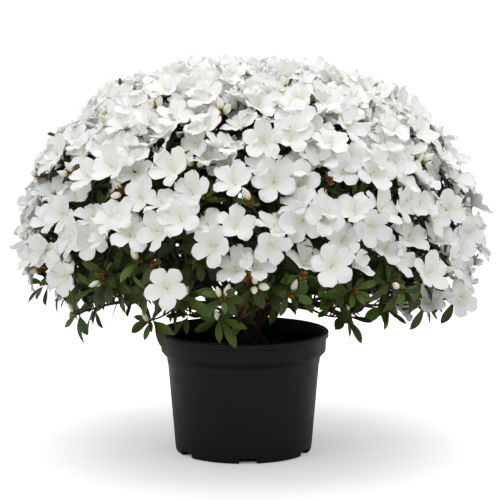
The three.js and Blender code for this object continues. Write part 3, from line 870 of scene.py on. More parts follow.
def liesOverFace(points):
    # whether points lie over a flower's face, or in its throat
    centres, faces = (np.array(each) for each in zip(*flowerFaces))
    off = np.array(points)[:, None] - centres[None]
    over = (off * faces[None]).sum(axis=2)
    aside = np.linalg.norm(off - over[..., None] * faces[None], axis=2)
    inFront = (over > overFace["from"]) & (over < overFace["to"]) & (aside < overFace["within"])
    deep = over + flower["tubeDepth"]
    inThroat = (deep > 0) & (over < 0) & (aside < overFace["throat"] + deep * overFace["throatOpens"])
    return (inFront | inThroat).any()


# Dressing the shoots

heaps = {f"{kind}_{ringName}": newHeap() for kind in ("blossom", "leaves", "twigs") for ringName in rings}
heaps.update(stamens=newHeap(), buds=newHeap())
# weights of the tints in each kind of spray
# a share of the flowers get the grey-blue tint, a painted shade on their petals
petalTints = {"white": 5, "cream": 2, "cool": 2}
sprayTints = {
    # the dark and inner sprays, deep in the crown, take mostly the deep and shade tints as painted shade
    "dark": {"deep": 4, "shade": 4, "green": 2}, "outer": {"shade": 3, "green": 5, "olive": 2, "fresh": 1},
    "bright": {"green": 3, "fresh": 5, "olive": 2}, "rim": {"fresh": 4, "green": 1},
    "new": {"bronze": 2, "olive": 3, "fresh": 2}, "inner": {"deep": 3, "shade": 4, "green": 3, "olive": 1},
    "sprig": {"green": 4, "olive": 3, "shade": 2}, "heart": {"olive": 3, "fresh": 3, "bronze": 1},
}
rosette = {"turnVary": (-0.25, 0.25), "leanVary": (-9, 9), "sizes": (1.05, 0.72), "sizeVary": (0.88, 1.08),
           "climb": 0.008, "radius": 0.001}
truss = {
    "counts": {2: 1, 3: 5, 4: 3}, "rise": (0.018, 0.028), "aside": (0.021, 0.029), "turnVary": (-0.07, 0.07),
    "tilt": (18, 46), "topTilt": (30, 66), "topFrom": (25, 35), "sway": 0.16, "lookUp": 0.2, "lowLookUp": 0.02,
    "scale": (0.93, 1.08), "outline": (0.96, 1.04), "closest": 0.0245, "upright": 0.25, "roll": (-0.6, 0.6),
    "stalk": (0.0009, 0.0008, 0.0008, 0.0019, 0.0011), "leaves": (6, 9), "buds": {0: 5, 1: 3, 2: 2},
    "budRise": (0.002, 0.012), "budAside": (0.006, 0.018), "budScale": (0.75, 1.05), "newShoot": 0.3,
    "newShootRise": 0.02, "lateClear": 0.023, "lateRadius": 0.0011,
}


def addFlower(ring, centre, face, draw, scale=1.0):
    flat = up - face * (up @ face)
    if np.linalg.norm(flat) > truss["upright"]:  # the blotched lobe looks up, but for flowers that face the sky
        side = turned(unit(flat), face, draw(*truss["roll"]))
    else:
        side = anyAround(face, draw)
    axes = np.array([side, np.cross(face, side), face]) * scale
    tint = petalSlots[pick(draw, petalTints)]
    addForm(heaps["blossom_" + ring], anyOf(draw, flowerForms), centre, axes, tint)
    addForm(heaps["stamens"], anyOf(draw, stamenForms), centre, axes)
    flowerFaces.append((centre, face))


def neckOf(centre, face, scale=1.0):
    # the end of a flower's stalk, just under its tube
    return centre - face * (flower["tubeDepth"] + 0.0006) * scale


def addLeaf(ring, foot, direction, normal, draw, tint, scale, forms):
    direction = unit(direction)
    reach = leaf["length"][1] * scale
    if pastBox(np.array([foot + direction * reach])).any():
        return
    side = unit(np.cross(normal, direction))
    lateForms.append({"heap": "leaves_" + ring, "form": anyOf(draw, forms), "foot": foot,
                      "slot": leafSlots[tint],
                      "axes": np.array([direction, side, np.cross(direction, side)]) * scale,
                      "seen": [foot + direction * reach * share for share in (0.5, 0.9)]})


def addRosette(ring, foot, axis, draw, count, tints, lean=(55, 100), scale=1.0, forms=leafForms):
    spin = draw(0, wholeTurn)
    side = anySide(axis)
    for k in range(count):
        turn = spin + k * spiralTurn + draw(*rosette["turnVary"])
        tilt = math.radians(mixed(lean[1], lean[0], k / count) + draw(*rosette["leanVary"]))
        around = turned(side, axis, turn)
        normal = axis * math.sin(tilt) - around * math.cos(tilt) + up * leaf["turnsUp"]
        size = scale * mixed(*rosette["sizes"], k / count) * draw(*rosette["sizeVary"])
        start = foot - axis * rosette["climb"] * (1 - k / count) + around * rosette["radius"]
        tint = pick(draw, sprayTints[tints])
        addLeaf(ring, start, tilted(axis, around, tilt), normal, draw, tint, size, forms)


def addTube(ring, path, radii, sides, tint):
    addForm(heaps["twigs_" + ring], sweep(path, radii, sides), shift=twigSlots[tint])


def addTwig(ring, curve, radii, sides, tint="red"):
    # a twig along a three-point curve, whose line is handed back
    line = bend(curve, np.linspace(0, 1, len(radii)))
    addTube(ring, line, radii, sides, tint)
    return line


def bowed(start, end, offset, share=0.5):
    return start, mixed(start, end, share) + offset, end


def addBud(foot, axis, draw, scale):
    side = anyAround(axis, draw)
    addForm(heaps["buds"], anyOf(draw, budForms), foot, np.array([side, np.cross(axis, side), axis]) * scale)


def addScales(foot, axis, draw, length=0.011, lean=(25, 62)):
    # the rust brown scales at the foot of a truss or bud
    side = anySide(axis)
    for k in range(looseScale["count"]):
        tilt = math.radians(draw(*lean))
        around = turned(side, axis, k * spiralTurn + draw(-0.3, 0.3))
        direction = tilted(axis, around, tilt)
        across = np.cross(axis, around)
        size = length * draw(*looseScale["vary"]) / looseScale["length"]
        lateForms.append({"heap": "buds", "form": scaleForm, "foot": foot + around * looseScale["foot"],
                          "slot": scaleSlot(k), "seen": [foot, foot + direction * length],
                          "axes": np.array([direction, across, np.cross(direction, across)]) * size})


def addTruss(ring, shoot, draw):
    foot, axis = shoot["foot"], shoot["axis"]
    count = pick(draw, truss["counts"])
    side = anySide(axis)
    azimuth, elevation, _, _ = placeOf(foot)
    fuller = fullness(azimuth[0], elevation[0])
    limit = draw(*truss["outline"]) + fullerRight["outline"] * fuller
    topShare = ramped(elevation[0], *truss["topFrom"])
    lookUp = truss["lookUp"] + truss["lowLookUp"] * max(0, -elevation[0])
    for k in range(count):
        tilt = math.radians(mixed(draw(*truss["tilt"]), draw(*truss["topTilt"]), topShare))
        around = turned(side, axis, shoot["spin"] + (k / count + draw(*truss["turnVary"])) * wholeTurn)
        rise = draw(*truss["rise"]) + fullerRight["rise"] * fuller
        centre = foot + axis * rise + around * draw(*truss["aside"])
        sway = np.array([draw(-1, 1), draw(-1, 1), draw(-1, 1)]) * truss["sway"] + up * lookUp
        face = unit(tilted(axis, around, tilt) + sway)
        scale = draw(*truss["scale"])
        centre = keptIn(centre, face, scale, limit)
        if flowerSpots and nearest(flowerSpots, centre) < truss["closest"]:
            continue
        if not isOverLine(centre) and not shoot.get("isLow"):
            continue
        addFlower(ring, centre, face, draw, scale)
        flowerSpots.append(centre)
        curve = (foot - axis * 0.012, foot - axis * 0.008 + around * 0.006, neckOf(centre, face, scale))
        addTwig(ring, curve, truss["stalk"], 5, "young")
    for _ in range(pick(draw, truss["buds"])):
        around = turned(side, axis, draw(0, 6.28))
        tip = foot + axis * draw(*truss["budRise"]) + around * draw(*truss["budAside"])
        lateOnes.append({"ring": ring, "foot": foot, "axis": axis, "tip": tip,
                         "budAxis": unit(axis * 0.6 + around * 0.35 + up * 0.6)})
    addScales(foot, axis, draw)
    addRosette(ring, foot - axis * 0.011, axis, draw, int(draw(*truss["leaves"])), "outer", (80, 118), 0.95)
    if draw() < truss["newShoot"]:
        lateOnes.append({"ring": ring, "foot": foot, "axis": axis, "tip": foot + axis * truss["newShootRise"]})


def addWhorl(ring, foot, axis, draw, tints, count, lean=(35, 96), scale=1.0, budShare=0.35):
    addRosette(ring, foot, axis, draw, count, tints, lean, scale)
    addScales(foot, axis, draw, 0.007)
    if draw() < budShare:
        side = anyAround(axis, draw)
        for sign in (-1, 1)[: int(draw(1, 3))]:
            budAxis = unit(axis * 0.5 + side * 0.3 * sign + up)
            addBud(foot + side * 0.003 * sign, budAxis, draw, draw(*truss["budScale"]))


def addLateOnes():
    # the buds and new shoots that no flower lies over
    draw = makeDraws(377)
    made = 0
    for each in lateOnes:
        foot, axis, tip, ring = each["foot"], each["axis"], each["tip"], each["ring"]
        if nearest(flowerSpots, tip + axis * 0.012) < truss["lateClear"]:
            continue
        if liesOverFace([tip, tip + axis * 0.008, tip + axis * 0.016]):
            continue
        curve = (foot - axis * 0.008, foot - axis * 0.002, tip)
        addTwig(ring, curve, np.full(4, truss["lateRadius"]), 4, "young")
        if "budAxis" in each:
            addBud(tip, each["budAxis"], draw, draw(*truss["budScale"]))
        else:
            addRosette(ring, tip, axis, draw, 6, "new", (12, 60), 0.5)
            addScales(tip - axis * 0.004, axis, draw, 0.008)
        made += 1
    return made


def addLateForms():
    kept = [each for each in lateForms if not liesOverFace(each["seen"])]
    for each in kept:
        addForm(heaps[each["heap"]], each["form"], each["foot"], each["axes"], each["slot"])
    return len(kept)


def dress(mass):
    ring, draw = mass["sector"]["ring"], mass["draw"]
    addTube(ring, mass["stem"], mass["stemRadii"], 7, "old")
    for twig in mass["twigs"]:
        shoot, radii = twig["shoot"], twig["radii"]
        if isTooLow(shoot["tip"]):
            continue
        line = softened(twig["path"], 4)
        spread = np.interp(np.linspace(0, len(radii) - 1, len(line)), range(len(radii)), radii)
        addTube(ring, line, spread, 6, "old" if len(radii) > 2 else "red")
        if isOverLine(shoot["tip"]):
            addTruss(ring, shoot, draw)
        else:
            addWhorl(ring, shoot["foot"], unit(shoot["axis"] - up * 0.15), draw, "outer", int(draw(6, 10)))


for mass in masses:
    dress(mass)
print(len(flowerSpots), "flowers in trusses")


# Finer twigs: side shoots along every twig, with leaves of their own

sideShoot = {"every": 0.013, "length": (0.020, 0.050), "leaves": (5, 8), "radii": (0.0012, 0.0009), "bow": 0.003,
             "ahead": 0.5, "outward": 0.5, "deepest": 0.86, "deepestSkirt": 0.95, "limbMargin": 0.006}


def addSideShoots(mass):
    ring, draw = mass["sector"]["ring"], mass["draw"]
    isSkirt = ring == "skirt"
    # side shoots inside the crown take the dark spray, whose deep and shade tints are painted shade
    tints, deepest = ("outer", sideShoot["deepestSkirt"]) if isSkirt else ("dark", sideShoot["deepest"])
    made = 0
    for twig in mass["twigs"]:
        for a, b in zip(twig["path"], twig["path"][1:]):
            heading, steps = unit(b - a), np.linalg.norm(b - a) / sideShoot["every"]
            for k in range(int(steps)):
                start = mixed(a, b, (k + draw()) / steps)
                out = unit(start - dome["centre"])
                around = anyAround(heading, draw)
                direction = unit(around + heading * sideShoot["ahead"] + out * sideShoot["outward"])
                end = start + direction * draw(*sideShoot["length"])
                azimuth, elevation, reach, _ = placeOf(end)
                if reach[0] > swell(azimuth[0], elevation[0]) * deepest or isTooLow(end):
                    continue
                if not clearOfLimbs(end[None], sideShoot["limbMargin"]):
                    continue
                addTwig(ring, bowed(start, end, out * sideShoot["bow"]), np.linspace(*sideShoot["radii"], 4), 4)
                addRosette(ring, end, unit(direction + out * 0.6), draw, int(draw(*sideShoot["leaves"])), tints)
                made += 1
    return made


print(sum(addSideShoots(mass) for mass in masses), "side shoots")


# Leafy shoots deeper in, which show green between the flowers and close the view through the crown

inner = {"tries": 1600, "lowest": -12, "share": (0.70, 0.86), "spacing": 0.040, "leaves": (7, 10),
         "lean": (35, 95), "twig": (0.0016, 0.0011), "twigSag": 0.008, "twigFrom": 0.9}
twigPoints = np.concatenate([softened(twig["path"], 3) for mass in masses for twig in mass["twigs"]])


def twigTo(ring, end, share, out, sides=5):
    # a twig from the nearest point of the grown ones that lies further in
    near = twigPoints[placeOf(twigPoints)[2] < inner["twigFrom"] * share]
    root = near[np.linalg.norm(near - end, axis=1).argmin()]
    addTwig(ring, bowed(root, end, out * -inner["twigSag"]), np.linspace(*inner["twig"], 6), sides)


def addInner():
    draw = makeDraws(619)
    spots = [np.zeros(3)]
    for _ in range(inner["tries"]):
        azimuth, elevation = anyPlace(draw, inner["lowest"])
        share = float(swell(azimuth, elevation)) * draw(*inner["share"])
        spot, out = onDome(azimuth, elevation, share), outward(azimuth, elevation)
        if nearest(spots, spot) < inner["spacing"] or isTooLow(spot):
            continue
        ring = ringAt(elevation)
        twigTo(ring, spot, share, out, 4)
        axis = unit(out + np.array([draw(-0.5, 0.5), draw(-0.5, 0.5), draw(-0.2, 0.6)]))
        # these inner leaves take the inner spray, mostly the deep and shade tints of painted shade
        addRosette(ring, spot, axis, draw, int(draw(*inner["leaves"])), "inner", inner["lean"], 1, innerForms)
        spots.append(spot)
    return len(spots) - 1


print(addInner(), "leafy shoots deeper in")


# Two single flowers low on the dome, as in the photo, whose places are kept free

singles = {"leftFront": {"at": (-0.100, -0.325, 0.289), "face": (-0.15, -1, 0.25)},
           "rightLow": {"at": (0.315, -0.070, 0.238), "face": (0.45, -0.8, 0.3)}}
for single in singles.values():
    single.update(at=np.array(single["at"]), face=unit(np.array(single["face"])))
    flowerSpots.append(single["at"])
    flowerFaces.append((single["at"], single["face"]))


# Sprigs that stand between the flowers: rust brown scales, a few leaves and plump buds

sprig = {"tries": 5000, "count": 60, "gap": 0.030, "apart": 0.085, "lowest": -4, "share": (0.905, 0.955),
         "reach": 0.028, "buds": {0: 2, 1: 4, 2: 3, 3: 1}, "budTilt": (16, 42), "budScale": (0.85, 1.1),
         "leaves": (7, 10), "leavesDeep": 0.009, "leafScale": 0.8, "heartLeaves": 5, "heartScale": 0.42}


def addSprig(ring, spot, axis, draw):
    side = anySide(axis)
    spin = draw(0, 6.28)
    addScales(spot, axis, draw, 0.011, (12, 60))
    addScales(spot + axis * 0.002, axis, draw, 0.008, (5, 40))
    foot = spot - axis * sprig["leavesDeep"]
    addRosette(ring, foot, axis, draw, int(draw(*sprig["leaves"])), "sprig", (50, 96), sprig["leafScale"])
    heart = spot + axis * 0.004
    addRosette(ring, heart, axis, draw, sprig["heartLeaves"], "heart", (15, 55), sprig["heartScale"])
    count = pick(draw, sprig["buds"])
    for k in range(count):
        tilt = math.radians(draw(*sprig["budTilt"]))
        around = turned(side, axis, spin + (k + draw(-0.15, 0.15)) * wholeTurn / max(count, 2))
        addBud(spot + around * 0.0025, tilted(axis, around, tilt), draw, draw(*sprig["budScale"]))


def addSprigs():
    draw = makeDraws(271)
    made = []
    for _ in range(sprig["tries"]):
        azimuth, elevation = anyPlace(draw, sprig["lowest"])
        share = float(swell(azimuth, elevation)) * draw(*sprig["share"])
        share += fullerRight["outline"] * fullness(azimuth, elevation)
        spot, out = onDome(azimuth, elevation, share), outward(azimuth, elevation)
        if nearest(flowerSpots, spot) < sprig["gap"] or liesOverFace([spot, spot + out * 0.012]):
            continue
        if made and nearest(made, spot) < sprig["apart"]:
            continue
        ring = ringAt(elevation)
        spot = spot + pastBox(np.array([spot + out * sprig["reach"], spot + up * sprig["reach"]]))
        twigTo(ring, spot, share, out)
        addSprig(ring, spot, unit(out + np.array([draw(-0.3, 0.3), draw(-0.3, 0.3), draw(-0.1, 0.3)])), draw)
        made.append(spot)
        if len(made) == sprig["count"]:
            break
    flowerSpots.extend(made)
    return len(made)


print(addSprigs(), "sprigs with buds")


# Single flowers and leafy shoots where the dome would show a hole, each on a twig from the nearest one

# widest gap left between flowers, and the share of fillers in flower, by elevation
filler = {"tries": 9000, "elevation": (-12, 8, 25, 40, 60), "gap": (0.046, 0.041, 0.0355, 0.0288, 0.0246),
          "flowers": (0.6, 0.8, 0.85, 0.95, 1), "lowest": -12, "share": (0.95, 1.0), "leafShare": (0.86, 0.94),
          "wideAt": (25, 60), "wide": (0.3, 0.75), "scale": (0.9, 1.05), "leaves": 5, "whorl": 8}


def fillHoles():
    draw = makeDraws(733)
    made = 0
    for _ in range(filler["tries"]):
        azimuth, elevation = anyPlace(draw, filler["lowest"])
        gap, flowers = (np.interp(elevation, filler["elevation"], filler[key]) for key in ("gap", "flowers"))
        isFlower = draw() < flowers and elevation > lowestFlower(azimuth)
        fuller = fullerRight["outline"] * fullness(azimuth, elevation)
        share = float(swell(azimuth, elevation)) * draw(*filler["share" if isFlower else "leafShare"]) + fuller
        ring, out = ringAt(elevation), outward(azimuth, elevation)
        spot = onDome(azimuth, elevation, share)
        if nearest(flowerSpots, spot) < gap:
            continue
        wide = np.interp(elevation, filler["wideAt"], filler["wide"])
        face = unit(out + np.array([draw(-wide, wide), draw(-wide, wide), draw(-0.1, 0.5)]))
        scale = draw(*filler["scale"])
        if isFlower:
            spot = keptIn(spot, face, scale, draw(*truss["outline"]) + fuller)
            neck = neckOf(spot, face, scale)
            twigTo(ring, neck, share, out)
            addFlower(ring, spot, face, draw, scale)
            addRosette(ring, neck - face * 0.008, face, draw, filler["leaves"], "outer", (76, 110), 0.85)
        else:
            twigTo(ring, spot, share, out)
            addWhorl(ring, spot, face, draw, "bright", filler["whorl"], (30, 92), 0.9, 0.6)
        flowerSpots.append(spot)
        made += 1
    return made


print(fillHoles(), "shoots fill the holes")


# The leafy fringe of low branches under the blossom. The named ones hang over the rim and at the sides as in
# the photo, the first of them brightest, and the rest run on round the back

fringe = {
    "named": {"overRim": (-0.033, -0.185, 0.225), "budPair": (0.054, -0.215, 0.262),
              "rimRight": (0.147, -0.135, 0.222), "rimLeft": (-0.080, -0.150, 0.224),
              "lowLeft": (-0.133, -0.085, 0.206), "leftTuft": (-0.224, -0.010, 0.210),
              "farLeft": (-0.292, -0.010, 0.248), "rightTuft": (0.210, -0.050, 0.216),
              "farRight": (0.272, 0.020, 0.224)},
    "hanging": {"rightFront": (0.296, -0.100, 0.238), "rightLow": (0.325, -0.010, 0.236),
                "right": (0.318, 0.080, 0.246), "left": (-0.296, -0.070, 0.256)},
    "count": 26, "elevation": (-44, -22), "share": (0.74, 0.98), "spacing": 0.075, "front": (-150, -35),
    "radii": (0.0019, 0.0012), "singleRadii": (0.0017, 0.0012), "forkRadii": (0.0013, 0.001),
    "sag": 0.018, "forks": (0, 4), "forkLength": (0.03, 0.055), "forkLow": 0.01, "leaves": (7, 10),
    "forkLeaves": (5, 8), "hangingDepth": 0.024,
}


def lowBranch(starts, aim, tip, sag, share=0.6, radii=fringe["radii"], points=10):
    # a sagging branch to the tip, from the start that is nearest to where it aims
    start = starts[np.linalg.norm(starts - aim, axis=1).argmin()]
    return addTwig("skirt", bowed(start, tip, up * -sag, share), np.linspace(*radii, points), 6)


def inwardOf(tip):
    return mixed(tip, dome["centre"] - up * 0.05, 0.4)


def addSpray(tip, starts, draw, tints):
    line = lowBranch(starts, inwardOf(tip), tip, fringe["sag"] * draw(-0.4, 1), 0.55)
    heading = unit(line[-1] - line[-2])
    axis = unit(heading + up * draw(0, 0.5))
    addWhorl("skirt", tip, axis, draw, tints, int(draw(*fringe["leaves"])), (45, 94), 1.0, 0.6)
    for _ in range(int(draw(*fringe["forks"]))):
        root = line[int(draw(3, 8))]
        aside = anyAround(heading, draw)
        end = root + unit(heading + aside * 0.9) * draw(*fringe["forkLength"])
        if end[2] < tip[2] - fringe["forkLow"]:
            continue
        addTwig("skirt", bowed(root, end, heading * 0.004), np.linspace(*fringe["forkRadii"], 4), 5)
        leaves = int(draw(*fringe["forkLeaves"]))
        addWhorl("skirt", end, unit(end - root), draw, "outer", leaves, (35, 90), 0.85, 0.1)


def addHanging(tip, starts, draw):
    # a low truss in flower
    axis = unit(tip * (1, 1, 0)) * 0.95 + up * 0.2
    foot = tip - axis * fringe["hangingDepth"]
    lowBranch(starts, inwardOf(tip), foot, 0.006)
    addTruss("skirt", {"foot": foot, "axis": axis, "spin": draw(0, 6.28), "isLow": True}, draw)


def addSingle(tip, face, starts, draw):
    # one flower on its own shoot
    neck = neckOf(tip, face)
    lowBranch(starts, neck, neck, 0.008, radii=fringe["singleRadii"], points=8)
    addFlower("skirt", tip, face, draw)
    addRosette("skirt", neck, face, draw, 6, "outer", (75, 120), 0.9)


def addFringe():
    draw = makeDraws(911)
    skirts = [limb["points"][12:] for limb in allLimbs if limb["name"].startswith("skirt")]
    starts = np.concatenate(skirts + [mass["stem"] for mass in masses if mass["sector"]["ring"] == "skirt"])
    tips = [np.array(tip) for tip in fringe["named"].values()]
    first, last = fringe["front"]
    for k in range(fringe["count"]):
        azimuth = (k + draw(-0.4, 0.4)) * 360 / fringe["count"] - 180
        tip = onDome(azimuth, draw(*fringe["elevation"]), draw(*fringe["share"]))
        if not first < azimuth < last and nearest(tips, tip) > fringe["spacing"]:
            tips.append(tip)
    for tip in fringe["hanging"].values():
        addHanging(np.array(tip), starts, draw)
    for single in singles.values():
        addSingle(single["at"], single["face"], starts, draw)
    for i, tip in enumerate(tips):
        addSpray(tip, starts, draw, "bright" if i else "rim")
    return len(tips)


print(addFringe(), "low sprays")
print(addLateOnes(), "buds and new shoots of", len(lateOnes))
print(addLateForms(), "leaves and scales of", len(lateForms))

kinds = {"blossom": (petalMaterials, "blossom"), "leaves": (leafMaterials, "leafage"),
         "twigs": (twigMaterials, "bark")}
for ringName in rings:
    nodes = [f"{mass['sector']['name']}_mass" for mass in masses if mass["sector"]["ring"] == ringName]
    main = "leaves" if ringName == "skirt" else "blossom"
    for kind, (materials, slot) in kinds.items():
        name = f"{kind}_{ringName}"
        buildPiece(name, heaps[name], materials, slot, nodes if kind == main else ())
buildPiece("stamens", heaps["stamens"], stamenMaterials, "blossom")
buildPiece("buds", heaps["buds"], budMaterials, "blossom")


# Trunk and boughs with the bark's relief

bark = {
    "trunkSides": 40, "boughSides": 16, "trunkStep": 0.003, "boughStep": 0.0048, "ridge": 0.1, "knots": 0.03,
    "collar": 0.55, "collarLength": 0.02, "sunk": 0.004, "topShare": 0.6, "colour": (0.06, 0.035, 0.022),
    "tints": {0.3: (0.014, 0.008, 0.005), 0.5: (0.044, 0.023, 0.015), 0.72: (0.11, 0.058, 0.036)},
    "grain": 260, "stretch": 0.25, "strength": 0.7, "relief": 0.0012,
}


def barkMaterial():
    material, tree, shader = newMaterial("old_bark", bark["colour"], 0.85, 0.25)
    place = addNode(tree, "TexCoord").outputs["Object"]
    stretch = addNode(tree, "Mapping", {"Vector": place, "Scale": (1, 1, bark["stretch"])}).outputs["Vector"]
    grain = addNode(tree, "TexNoise", {"Vector": stretch, "Scale": bark["grain"], "Detail": 8}).outputs[0]
    tint = addRamp(tree, grain, bark["tints"])
    feed(tree, shader, {"Base Color": tint, "Roughness": patches(tree, 120, 0.7, 0.95)})
    addBump(tree, shader, grain, bark["strength"], bark["relief"])
    return material


def barkRadii(line, radii, sides, collar=0.0):
    # ridges along the limb, slow knots, and a collar where it leaves its parent
    rows = []
    for length, radius, point in zip(lengthsAlong(line), radii, line):
        swollen = 1 + collar * math.exp(-(length / bark["collarLength"]) ** 2)
        row = []
        for turn in turnsRound(sides):
            x, y = math.cos(turn), math.sin(turn)
            ridge = noise.noise(Vector((x * 2.2, y * 2.2, length * 28 + point[0] * 90)) * 1.6)
            knot = noise.noise(Vector((x, y, length * 60 + point[1] * 70)))
            row.append(radius * (swollen + bark["ridge"] * ridge + bark["knots"] * knot))
        rows.append(row)
    return np.array(rows)


def makeWood():
    heap = newHeap()
    shares = np.linspace(0, 1, int(trunk["height"] / bark["trunkStep"]) + 1)
    line = bend(trunkCurve(), shares)
    flare = np.maximum(0, 1 - shares * 3) ** 2
    radii = mixed(trunk["radius"], trunk["topRadius"], shares) + (trunk["flare"] - trunk["radius"]) * flare
    line = np.concatenate([line[:1] - up * bark["sunk"], line, line[-1:] + up * bark["sunk"]])
    radii = np.concatenate([radii[:1], radii, radii[-1:] * bark["topShare"]])
    addForm(heap, sweep(line, barkRadii(line, radii, bark["trunkSides"]), bark["trunkSides"]))
    for limb in allLimbs:
        size, sides = limb["size"], bark["boughSides"]
        shares = np.linspace(0, 1, int(lengthsAlong(limb["points"])[-1] / bark["boughStep"]) + 2)
        line = bend(limb["curve"], shares)
        radii = barkRadii(line, mixed(size["base"], size["tip"], shares), sides, bark["collar"])
        addForm(heap, sweep(line, radii, sides))
    nodes = ["trunk"] + [limb["name"] + "_bough" for limb in allLimbs]
    return buildPiece("trunk_and_boughs", heap, [barkMaterial()], "bark", nodes)


makeWood()


# Pot

pot = {
    "height": 0.178, "lipRadius": 0.125, "lipHeight": 0.009, "lipRound": 0.0018, "bandRadius": 0.1215,
    "bandFoot": 0.148, "shoulderHeight": 0.140, "shoulderRadius": 0.112,
    "ridgeHeight": 0.131, "ridgeProud": 0.0009, "baseRadius": 0.100, "cornerRadius": 0.004,
    "wall": 0.0024, "floor": 0.003, "sides": 144, "sharp": 32,
    "notches": 6, "notchTurn": 4, "notchWidth": 0.026, "notchHeight": 0.008, "notchDepth": 0.017,
    # two low rings under the foot, from the middle out
    "underside": ((0.0, 0.0008), (0.030, 0.0008), (0.0305, 0.0), (0.062, 0.0), (0.0625, 0.0005), (0.064, 0.0005),
                  (0.0645, 0.0)),
    "colour": (0.0086, 0.0086, 0.0088), "clean": (0.0074, 0.0074, 0.0077), "dusty": (0.0106, 0.0105, 0.0103),
}


def arc(centre, radius, start, stop, steps=5):
    turns = np.radians(np.linspace(start, stop, steps))
    return [(centre[0] + radius * math.cos(turn), centre[1] + radius * math.sin(turn)) for turn in turns]


def wallAt(height):
    return pot["baseRadius"] + (pot["shoulderRadius"] - pot["baseRadius"]) * height / pot["shoulderHeight"]


def potProfile():
    lip, lipRound, corner, wall = pot["lipRadius"], pot["lipRound"], pot["cornerRadius"], pot["wall"]
    top, lipFoot, band = pot["height"], pot["height"] - pot["lipHeight"], pot["bandRadius"]
    ridge, shoulder = pot["ridgeHeight"], pot["shoulderHeight"]
    proud, bandFoot = pot["ridgeProud"], pot["bandFoot"]
    line = list(pot["underside"])
    line += arc((pot["baseRadius"] - corner, corner), corner, -90, 0)
    line += [(wallAt(height), height) for height in np.linspace(corner + 0.004, ridge, 12)]
    line += arc((wallAt(ridge) - 0.0006, ridge + 0.0012), 0.0006 + proud, -70, 20, 4)
    line += [(wallAt(shoulder) + proud, shoulder), (wallAt(shoulder) + proud + 0.0006, shoulder + 0.0005)]
    line += arc((band - 0.0022, bandFoot + 0.0014), 0.0016, -60, 0, 4)
    line += [(band - 0.0003, bandFoot + 0.008), (band, lipFoot - 0.0008)]
    line += arc((lip - lipRound, lipFoot + lipRound), lipRound, -80, 0)
    line += arc((lip - lipRound, top - lipRound), lipRound, 0, 90)
    line += arc((band - wall + 0.001, top - 0.001), 0.001, 90, 180, 4)
    line += [(band - wall - 0.001, bandFoot + wall), (wallAt(shoulder) - wall, shoulder + wall)]
    line += [(wallAt(height) - wall, height) for height in np.linspace(shoulder, pot["floor"], 6)]
    return line + [(0.0, pot["floor"])]


def potMaterial():
    material, tree, shader = newMaterial("moulded_black", pot["colour"], 0.4, 0.16)
    dust = patches(tree, 14, 0, 1, 6)
    blend = {"Factor": dust, "A": (*pot["clean"], 1), "B": (*pot["dusty"], 1)}
    tint = addNode(tree, "Mix", blend, data_type="RGBA")
    feed(tree, shader, {"Base Color": tint.outputs["Result"], "Roughness": patches(tree, 45, 0.36, 0.5, 5)})
    addBump(tree, shader, patches(tree, 900, 0, 1, 2), 0.12, 0.0004)
    return material


def circle(radius, sides):
    return [(radius * math.cos(turn), radius * math.sin(turn)) for turn in turnsRound(sides)]


def revolve(profile, sides):
    rows = np.array([[(x, y, z) for x, y in circle(r, sides)] for r, z in profile if r > 0])
    form = capped(gridForm(rows, wrap=True), sides)
    form["points"][-2:] = [(0, 0, profile[0][1]), (0, 0, profile[-1][1])]
    return form


def boxCutter(size, at, turn):
    x, y, z = size
    corners = [(sx * x / 2, sy * y, sz * z) for sx in (-1, 1) for sy in (-1, 1) for sz in (-1, 1)]
    faces = [(0, 1, 3, 2), (4, 6, 7, 5), (0, 4, 5, 1), (2, 3, 7, 6), (0, 2, 6, 4), (1, 5, 7, 3)]
    mesh = bpy.data.meshes.new("notchCutter")
    mesh.from_pydata(corners, [], faces)
    return addObject("notchCutter", mesh, at, (0, 0, turn))


def makePot():
    heap = newHeap()
    addForm(heap, revolve(potProfile(), pot["sides"]))
    shell = buildPiece("nursery_pot", heap, [potMaterial()], "pot_plastic", ["pot"])
    bpy.context.view_layer.objects.active = shell
    for i in range(pot["notches"]):
        turn = math.radians(pot["notchTurn"] + i * 360 / pot["notches"])
        at = (math.sin(turn) * pot["baseRadius"], -math.cos(turn) * pot["baseRadius"], 0)
        cutter = boxCutter((pot["notchWidth"], pot["notchDepth"], pot["notchHeight"]), at, turn)
        cut = shell.modifiers.new("notch", "BOOLEAN")
        cut.operation, cut.solver, cut.object = "DIFFERENCE", "EXACT", cutter
        bpy.ops.object.modifier_apply(modifier=cut.name)
        bpy.data.objects.remove(cutter)
    shell.data.set_sharp_from_angle(angle=math.radians(pot["sharp"]))


makePot()


# Potting mix of crumbs, with chips of bark strewn on it

mix = {
    "edge": 0.156, "flat": 0.045, "rings": 34, "sides": 120, "lumps": 0.0034, "sunk": 0.0015, "inset": 0.0006,
    "chips": 900, "chipForms": 12, "chip": ((0.0022, 0.0065), (0.0014, 0.0036), (0.0008, 0.0018)),
    "chipAlong": (-1, -0.35, 0.4, 1), "colour": (0.016, 0.009, 0.006),
    "tints": {0: (0.005, 0.003, 0.002), 1: (0.045, 0.026, 0.015)},
    "crumbs": 320, "strength": 0.9, "relief": 0.0016,
}
mixRim = pot["bandRadius"] - pot["wall"]


def mixHeight(x, y):
    base = mixed(soilTop, mix["edge"], max(0, (math.hypot(x, y) - mix["flat"]) / (mixRim - mix["flat"])))
    rough = noise.noise(Vector((x, y, 0.3)) * 60) + 0.6 * noise.noise(Vector((x, y, 1.7)) * 170)
    return base - mix["sunk"] + mix["lumps"] * rough


def mixMaterial():
    material, tree, shader = newMaterial("potting_mix", mix["colour"], 0.95, 0.2)
    place = addNode(tree, "TexCoord").outputs["Object"]
    crumbs = addNode(tree, "TexVoronoi", {"Vector": place, "Scale": mix["crumbs"]}).outputs["Distance"]
    tint = addRamp(tree, patches(tree, 210, 0, 1, 6), mix["tints"])
    feed(tree, shader, {"Base Color": tint, "Roughness": patches(tree, 90, 0.8, 1)})
    addBump(tree, shader, crumbs, mix["strength"], mix["relief"])
    return material


